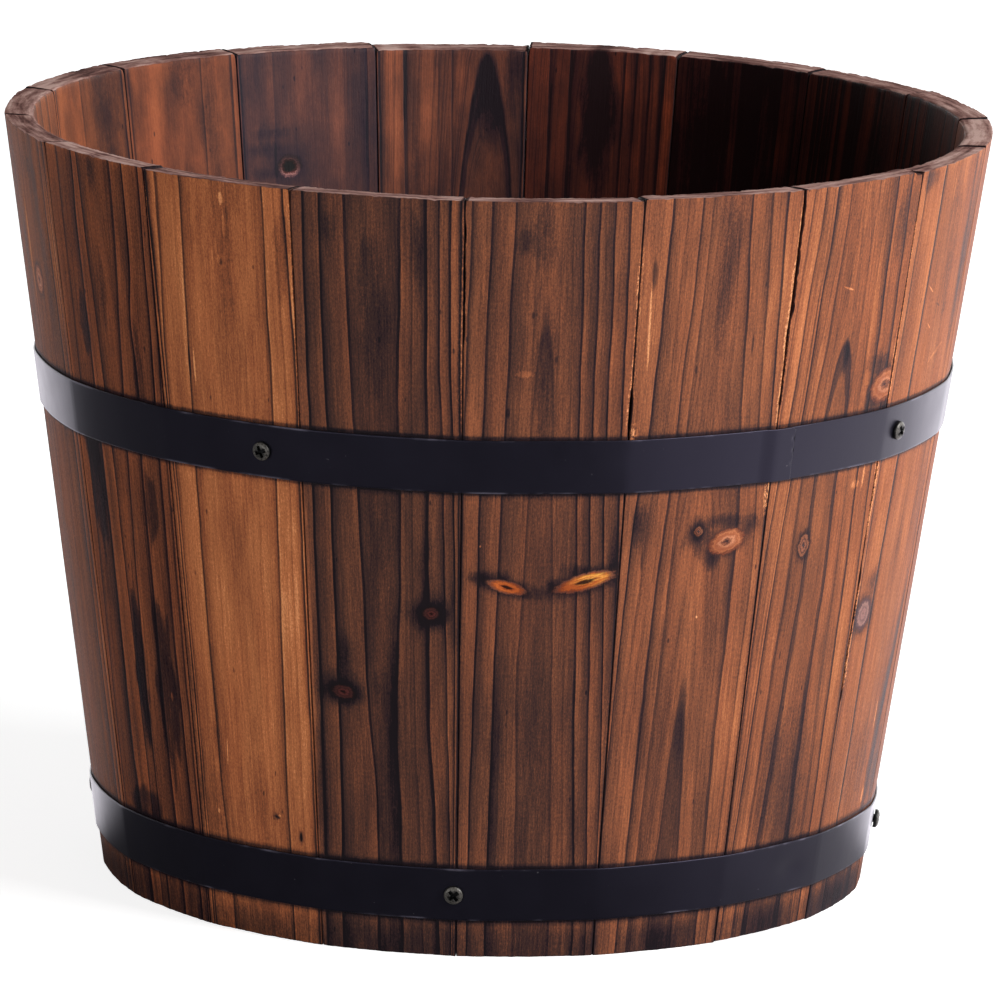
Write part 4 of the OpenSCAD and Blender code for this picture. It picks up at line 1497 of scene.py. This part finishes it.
@dataclass
class Hoop:
    """A steel strap bent round the staves, its last end lapped over its first and spot welded.

    A weld is its distance from the last end, its height on the strap and its depth. A bump is its
    bearing, its height, its half sizes in degrees and mm, and how far it swells out, or in below 0.
    """

    name: str
    z: float
    lap_bearing: float
    finish: bpy.types.Material
    width: float = 22.0
    thick: float = 0.8
    play: float = 0.1
    lap: float = 8.0
    edge: float = 0.28
    face_points: int = 34
    back_points: int = 6
    sections: int = 560
    crease_sections: tuple[float, ...] = (-0.7, -0.4, -0.2, -0.07, 0.07, 0.2, 0.4, 0.7)
    welds: tuple[Triple, ...] = ()
    bumps: tuple[tuple[float, float, float, float, float], ...] = ()
    sag: float = 0.0

    def section(self) -> tuple[Array, Array, Array]:
        """The strap's outline as (out, up) in mm from the middle of its back, and its edge wear."""
        half = self.width / 2
        edge = self.edge
        face = np.linspace(-half + edge, half - edge, self.face_points)
        back = np.linspace(half - edge, -half + edge, self.back_points)
        arc = np.radians(np.array([0, 30, 60]))
        outer_out = (self.thick - edge + edge * np.cos(arc))[1:]
        outer_up = (half - edge + edge * np.sin(arc))[1:]
        inner_out = edge - edge * np.sin(arc)
        inner_up = half - edge + edge * np.cos(arc)
        front = 0 * face + self.thick
        out = np.concatenate([front, outer_out, inner_out, 0 * back, inner_out[::-1], outer_out[::-1]])
        up = np.concatenate([face, outer_up, inner_up, back, -inner_up[::-1], -outer_up[::-1]])
        wear = ease(half - 1.0, half - 0.2, np.abs(up)) * (out > self.thick * 0.4)
        return out, up, wear

    def stations(self) -> Array:
        """Bearings of the strap's sections, from its first end, under the lap, to its last."""
        degree = 180 / math.pi / CASK.outer(self.z)
        start = self.lap_bearing - self.lap * degree
        last = self.lap_bearing + 360
        coarse = np.linspace(start, last, self.sections)
        seam = last - degree * np.array([0.1, 0.25, 0.45, *np.arange(0.7, 22, 0.35)])
        crease = CASK.first_bearing + CASK.span * np.arange(1, 42)
        creases = (crease[:, None] + np.array(self.crease_sections)).ravel()
        creases = creases[(creases > start) & (creases < last)]
        return np.unique(np.round(np.concatenate([coarse, seam, creases]), 3))

    def seat(self, bearing: Array) -> Array:
        """How far in mm the strap sinks from the cone: it bridges each stave's flatter middle.

        Between two joints it is the staves' flatness * (1 - t^2) with t from -1 to 1, and each joint's
        crease is eased over about a degree.
        """
        flat = CASK.face_flat
        phase = (bearing - CASK.first_bearing) / CASK.span
        t = 2 * (phase - np.floor(phase)) - 1
        far = 1 - np.abs(t)
        sink = 2 * flat * (np.sqrt(far**2 + 0.0016) - 0.04) - flat * far**2
        dents = 0.035 * lattice_noise(bearing / 6, 0, int(self.z))
        dents += 0.015 * lattice_noise(bearing / 2.2, 0, 5)
        return np.maximum(sink + dents, 0)

    def surface(self) -> Surface:
        """The strap as a closed tube with flat ends."""
        out, up, wear = self.section()
        bearing = self.stations()
        degree = 180 / math.pi / CASK.outer(self.z)
        last = self.lap_bearing + 360
        rise = ease(last - (self.lap + 9) * degree, last - (self.lap + 1) * degree, bearing)
        lift = (self.thick + 0.06) * rise
        rows, around = len(bearing), len(out)
        out_grid = out[None, :] + lift[:, None]
        up_grid = np.broadcast_to(up[None, :], (rows, around)).copy()
        to_end = (last - bearing)[:, None] / degree
        clip = ease(2.4, 0.3, to_end)
        up_grid = up_grid - clip * ease(self.width / 2 - 2.0, self.width / 2, up_grid) * 0.9
        thin = ease(0.5, 0.0, to_end) * 0.32
        front = (out > self.thick * 0.4)[None, :]
        out_grid = out_grid - thin * front
        for along, high, deep in self.welds:
            far = ((to_end - along) ** 2 + (up_grid - high) ** 2) / 0.95**2
            out_grid = out_grid - deep * np.exp(-far) * front
        for middle, height, half_turn, half_up, swell in self.bumps:
            turned = np.mod(bearing[:, None] - middle + 180, 360) - 180
            far = (turned / half_turn) ** 2 + ((up_grid - height) / half_up) ** 2
            out_grid = out_grid + swell * np.exp(-far) * front
        turn = np.broadcast_to(bearing[:, None], out_grid.shape).copy()
        ragged = 0.25 * lattice_noise(up_grid / 3.5, 0, 31)
        turn = turn + ease(1.5, 0.0, to_end) * (0.3 * ragged - 0.2) * degree
        sink = self.seat(bearing)[:, None]
        side = math.cos(CASK.lean)
        down = math.sin(CASK.lean)
        base = CASK.outer(self.z) + self.play
        wave = 0.12 * lattice_noise(bearing / 9, 0, 41)[:, None]
        drop = sagged(bearing, self.sag)[:, None]
        radius = base + out_grid * side + up_grid * down - sink - CASK.flare * drop
        z = self.z - out_grid * down + (up_grid + wave) * side - drop
        points = ring_points(turn, radius, z).reshape(-1, 3)
        return self.capped(points, rows, around, wear)

    def capped(self, points: Array, rows: int, around: int, wear: Array) -> Surface:
        """Closes both ends with a strip between the front and the back of the outline."""
        faces = [tube_faces(rows, around)]
        half = around // 2
        for row, flip in ((0, False), (rows - 1, True)):
            base = row * around
            up_side = base + np.arange(half)
            down_side = base + (around - 1 - np.arange(half))
            strip = np.stack([up_side[:-1], up_side[1:], down_side[1:], down_side[:-1]], -1)
            faces.append(strip[:, ::-1] if flip else strip)
        state = np.zeros((rows * around, 3))
        state[:, 0] = np.tile(wear, rows)
        return Surface(points, np.concatenate(faces), {"state": state}).outward()

    def build(self) -> bpy.types.Object:
        """Builds the strap and stands it for its CAD node."""
        piece = self.surface().to_object(f"{self.name}_strap", self.finish)
        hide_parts(self.name)
        return piece


@dataclass
class HoopScrews:
    """The pan head screws of one hoop, with cross recesses.

    The skirt gives the rings below the dome, down to a stub in the strap's hole: each ring's share of
    the head's radius and its level in mm.
    """

    name: str
    z: float
    first_bearing: float
    turns: tuple[float, ...]
    nudges: tuple[float, ...]
    finish: bpy.types.Material
    sag: float = 0.0
    head_radius: float = 3.85
    head_height: float = 2.3
    rim_height: float = 0.9
    recess_half_width: float = 0.70
    recess_half_length: float = 2.45
    recess_depth: float = 1.7
    seat_height: float = 0.62
    skirt: tuple[tuple[float, float], ...] = (
        (1.0, 0.55), (1.0, 0.2), (0.985, 0.0), (0.45, 0.0), (0.45, -2.0), (0.05, -2.2)
    )
    grid: int = 61

    def head(self, turn: float) -> tuple[Array, Array, Array]:
        """One head on its own axes.

        A square grid is bent to a disc by u = x sqrt(1 - y^2 / 2), v = y sqrt(1 - x^2 / 2). The top is
        rim + (height - rim) * sqrt(1 - r^2.6), with r from 0 to 1 at the head's edge, less the recess:
        its depth times a step of the distance to the nearer bar of the cross.

        Args:
            turn: Turn of the recess in degrees.

        Returns:
            Points in mm, faces, and the share of high place per point.
        """
        line = np.linspace(-1, 1, self.grid)
        x, y = np.meshgrid(line, line, indexing="ij")
        u = x * np.sqrt(1 - y**2 / 2)
        v = y * np.sqrt(1 - x**2 / 2)
        r = np.minimum(np.sqrt(u**2 + v**2), 1)
        dome = self.rim_height + (self.head_height - self.rim_height) * np.sqrt(np.maximum(1 - r**2.6, 0))
        a = math.radians(turn)
        p = (u * math.cos(a) + v * math.sin(a)) * self.head_radius
        q = (-u * math.sin(a) + v * math.cos(a)) * self.head_radius
        bar_one = np.maximum(np.abs(p) - self.recess_half_width, np.abs(q) - self.recess_half_length)
        bar_two = np.maximum(np.abs(q) - self.recess_half_width, np.abs(p) - self.recess_half_length)
        cut = np.minimum(bar_one, bar_two)
        dome = dome - self.recess_depth * ease(0.10, -0.28, cut)
        high = (0.35 + 0.65 * ease(0.45, 0.75, r)) * ease(1.0, 0.92, r) * ease(-0.1, 0.25, cut)
        cap = np.stack([u * self.head_radius, v * self.head_radius, dome], -1).reshape(-1, 3)
        numbers = np.arange(self.grid**2).reshape(self.grid, self.grid)
        rim = np.concatenate([numbers[:-1, 0], numbers[-1, :-1], numbers[1:, -1][::-1], numbers[0, 1:][::-1]])
        skirts = [cap]
        faces = [sheet_faces(numbers)]
        above = rim
        count = len(cap)
        for scale, level in self.skirt:
            ring = cap[rim] * np.array([scale, scale, 0]) + np.array([0, 0, level])
            below = count + np.arange(len(rim))
            faces.append(np.stack([above, np.roll(above, -1), np.roll(below, -1), below], -1))
            skirts.append(ring)
            above = below
            count += len(rim)
        half = len(rim) // 2
        tip_a = above[:half]
        tip_b = above[half:][::-1]
        faces.append(np.stack([tip_a[:-1], tip_a[1:], tip_b[1:], tip_b[:-1]], -1))
        points = np.concatenate(skirts)
        share = np.concatenate([high.ravel(), np.zeros(count - len(cap))])
        return points, np.concatenate(faces), share

    def surface(self) -> Surface:
        """All heads of the hoop, each square to the strap's face."""
        whole: Surface | None = None
        lean = CASK.lean
        for k, turn in enumerate(self.turns):
            points, faces, share = self.head(turn)
            bearing = math.radians(self.first_bearing + 90 * k + self.nudges[k])
            outward = np.array([math.sin(bearing), -math.cos(bearing), 0])
            across = np.array([math.cos(bearing), math.sin(bearing), 0])
            normal = outward * math.cos(lean) - np.array([0, 0, math.sin(lean)])
            upward = np.cross(normal, across)
            z = self.z - float(sagged(math.degrees(bearing), self.sag))
            seat = outward * CASK.outer(z) + np.array([0, 0, z]) + normal * self.seat_height
            placed = seat + points[:, :1] * across + points[:, 1:2] * upward + points[:, 2:] * normal
            state = np.stack([share, 0 * share, 0 * share], -1)
            one = Surface(placed * MM, faces, {"state": state}).outward()
            whole = one if whole is None else whole.joined(one)
        return whole

    def build(self) -> bpy.types.Object:
        """Builds the heads and stands them for the CAD node."""
        piece = self.surface().to_object(f"{self.name}_heads", self.finish)
        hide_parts(self.name)
        return piece


@dataclass
class Floor:
    """The floor boards and their dowels, which keep their CAD meshes."""

    boards: tuple[str, ...] = tuple(f"floor_board_{k}" for k in range(1, 6))
    dowels: str = "floor_dowels"

    def dress(self) -> None:
        """Gives the boards and dowels their wood."""
        for number, name in enumerate(self.boards):
            warm = 1 - 0.07 * (number % 3)
            pale = srgb(150 * warm, 98 * warm, 66 * warm)
            deep = srgb(74 * warm, 46 * warm, 34 * warm)
            self.coat(name, BoardFir(f"board_fir_{number + 1}", pale, deep).material())
        self.coat(self.dowels, BoardFir("dowel_wood", srgb(214, 178, 134), srgb(168, 128, 88)).material())

    def coat(self, name: str, material: bpy.types.Material) -> None:
        """Puts a material on a CAD node."""
        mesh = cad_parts[name].data
        mesh.materials.clear()
        mesh.materials.append(material)


# ---------- studio ----------


def studio_gloss(direction: Value) -> Value:
    """Brightness that gloss sees in a direction: dim in front, brighter to the right, white behind."""
    x, y, _ = direction.split()
    return 0.13 + (x.step(0.25, 0.95, 0.0, 1.15) + y.step(0.35, 0.85, 0.0, 2.0))


@dataclass
class Studio:
    """A pale floor, a white surround and soft lamps."""

    floor_half: float = 7.0
    key_power: float = 58.0
    fill_power: float = 16.0
    ambient: float = 0.16
    floor_glow: float = 0.80
    aim_height: float = 0.16

    def lamp(
        self,
        name: str,
        bearing: float,
        elevation: float,
        distance: float,
        size: tuple[float, float],
        power: float,
    ) -> None:
        """A soft area lamp that looks at the planter.

        Args:
            name: Name of the lamp.
            bearing: Its bearing in degrees.
            elevation: Its angle above the floor in degrees.
            distance: How far it is from the planter's middle, in metres.
            size: Its width and height in metres.
            power: Its power in watts.
        """
        data = bpy.data.lights.new(name, "AREA")
        data.shape = "RECTANGLE"
        data.size, data.size_y = size
        data.energy = power
        lamp = bpy.data.objects.new(name, data)
        bpy.context.scene.collection.objects.link(lamp)
        b = math.radians(bearing)
        e = math.radians(elevation)
        away = Vector((math.sin(b) * math.cos(e), -math.cos(b) * math.cos(e), math.sin(e)))
        lamp.location = Vector((0, 0, self.aim_height)) + away * distance
        lamp.rotation_euler = away.to_track_quat("Z", "Y").to_euler()
        lamp.visible_camera = False

    def floor(self) -> None:
        """The pale floor: white to the eye, and it keeps the planter's shadow."""
        half = self.floor_half
        line = np.linspace(-half, half, 9)
        x, y = np.meshgrid(line, line, indexing="ij")
        points = np.stack([x, y, 0 * x], -1).reshape(-1, 3)
        mesh = bpy.data.meshes.new("studio_floor")
        faces = sheet_faces(np.arange(81).reshape(9, 9))
        mesh.from_pydata(points.tolist(), [], faces[:, ::-1].tolist())
        floor = bpy.data.objects.new("studio_floor", mesh)
        bpy.context.scene.collection.objects.link(floor)
        s = Sheet(bpy.data.materials.new("studio_floor"))
        place = s.place()
        side, back, _ = s.lay("VectorMath", {0: place}, operation="NORMALIZE").split()
        back = back + place.length().step(0.2, 0.5, 0.45, 0.0)
        # painted shadow: as gloss sees it, the floor is darker near the planter, least behind it
        near = place.length().step(0.17, 0.50, 0.42, 1.0).most(back.step(0.3, 0.7))
        gloss = studio_gloss(s.join(side, back, 0.0)) * near
        white = s.glow(s.seen() * place.length().step(0.3, 1.1, self.floor_glow, 1.0))
        matt = s.shader(Base_Color=(0.80, 0.80, 0.80, 1), Roughness=0.9, Specular_IOR_Level=0.0)
        lit = s.lay("AddShader", {0: matt, 1: white})
        s.end(s.lay("MixShader", {0: s.ray("Glossy"), 1: lit, 2: s.glow(gloss, (0.97, 0.93, 1.0, 1))}))
        mesh.materials.append(s.data)

    def surround(self) -> None:
        """The world: a weak even light, the studio's brightness for gloss, and white to the eye."""
        world = bpy.data.worlds.new("studio")
        bpy.context.scene.world = world
        s = Sheet(world, "OutputWorld")
        seen = s.seen()
        glossy = s.ray("Glossy")
        plain = (1.0 - glossy) * self.ambient
        light = plain + glossy * studio_gloss(s.lay("TexCoord", {}, "Generated"))
        light = light * (1.0 - seen)
        s.end(s.lay("Background", {"Color": (1, 1, 1, 1), "Strength": light + seen}))

    def camera(self) -> None:
        """The camera at the photograph's view: a long lens, nearly 12 degrees above the level."""
        pitch = 0.2067
        roll = 0.0229
        forward = Vector((0, math.cos(pitch), -math.sin(pitch)))
        upward = Vector((0, math.sin(pitch), math.cos(pitch)))
        right = Vector((1, 0, 0))
        across = right * math.cos(roll) + upward * math.sin(roll)
        above = upward * math.cos(roll) - right * math.sin(roll)
        place = Vector((0, 0, 0.15707)) - forward * 3.52552 + across * 0.00375 - above * 0.00353
        data = bpy.data.cameras.new("camera")
        data.lens = 306.73
        data.sensor_width = 36
        data.clip_start = 0.05
        data.clip_end = 60
        camera = bpy.data.objects.new("camera", data)
        bpy.context.scene.collection.objects.link(camera)
        turn = Matrix((across, above, -forward)).transposed()
        camera.matrix_world = Matrix.Translation(place) @ turn.to_4x4()
        bpy.context.scene.camera = camera

    def build(self) -> None:
        """Sets up floor, world, lamps, camera and the view transform."""
        self.floor()
        self.surround()
        self.lamp("key", 64, 30, 2.2, (1.6, 1.6), self.key_power)
        self.lamp("fill", -36, 1.5, 2.6, (2.6, 0.5), self.fill_power)
        self.camera()
        bpy.context.scene.view_settings.view_transform = "Standard"


def main() -> None:
    """Builds the planter and its studio."""
    logging.basicConfig(level=logging.INFO, format="%(name)s: %(message)s")
    paint = SatinStrapPaint().material()
    oxide = BlackOxide().material()
    pieces = StaveRing().build()
    high = 206.0
    low = 26.8
    upper_welds = ((0.9, 6.2, 0.4), (0.4, 1.2, 0.3), (0.6, -4.4, 0.25))
    lower_welds = ((3.0, 5.0, 0.35), (3.2, -5.2, 0.35))
    bumps = ((50.0, -1.0, 2.6, 4.6, -0.55), (-25.0, -5.0, 1.2, 3.5, 0.16), (-1.5, -4.0, 1.5, 4.0, 0.14))
    fittings = (
        Hoop("upper_hoop", high, 39.3, paint, welds=upper_welds),
        Hoop("lower_hoop", low, 150.0, paint, welds=lower_welds, bumps=bumps, sag=1.9),
        HoopScrews("upper_hoop_screws", high, -29.3, (20, 35, 70, 5), (0.7, -0.9, 0, 0), oxide),
        HoopScrews("lower_hoop_screws", low, -4.3, (40, 12, 65, 30), (0.4, 0, 0, 1.0), oxide, sag=2.3),
    )
    pieces.extend(fitting.build() for fitting in fittings)
    Floor().dress()
    Studio().build()
    for piece in pieces:
        log.info("%s: %d faces", piece.name, len(piece.data.polygons))


if __name__ == "__main__":
    main()
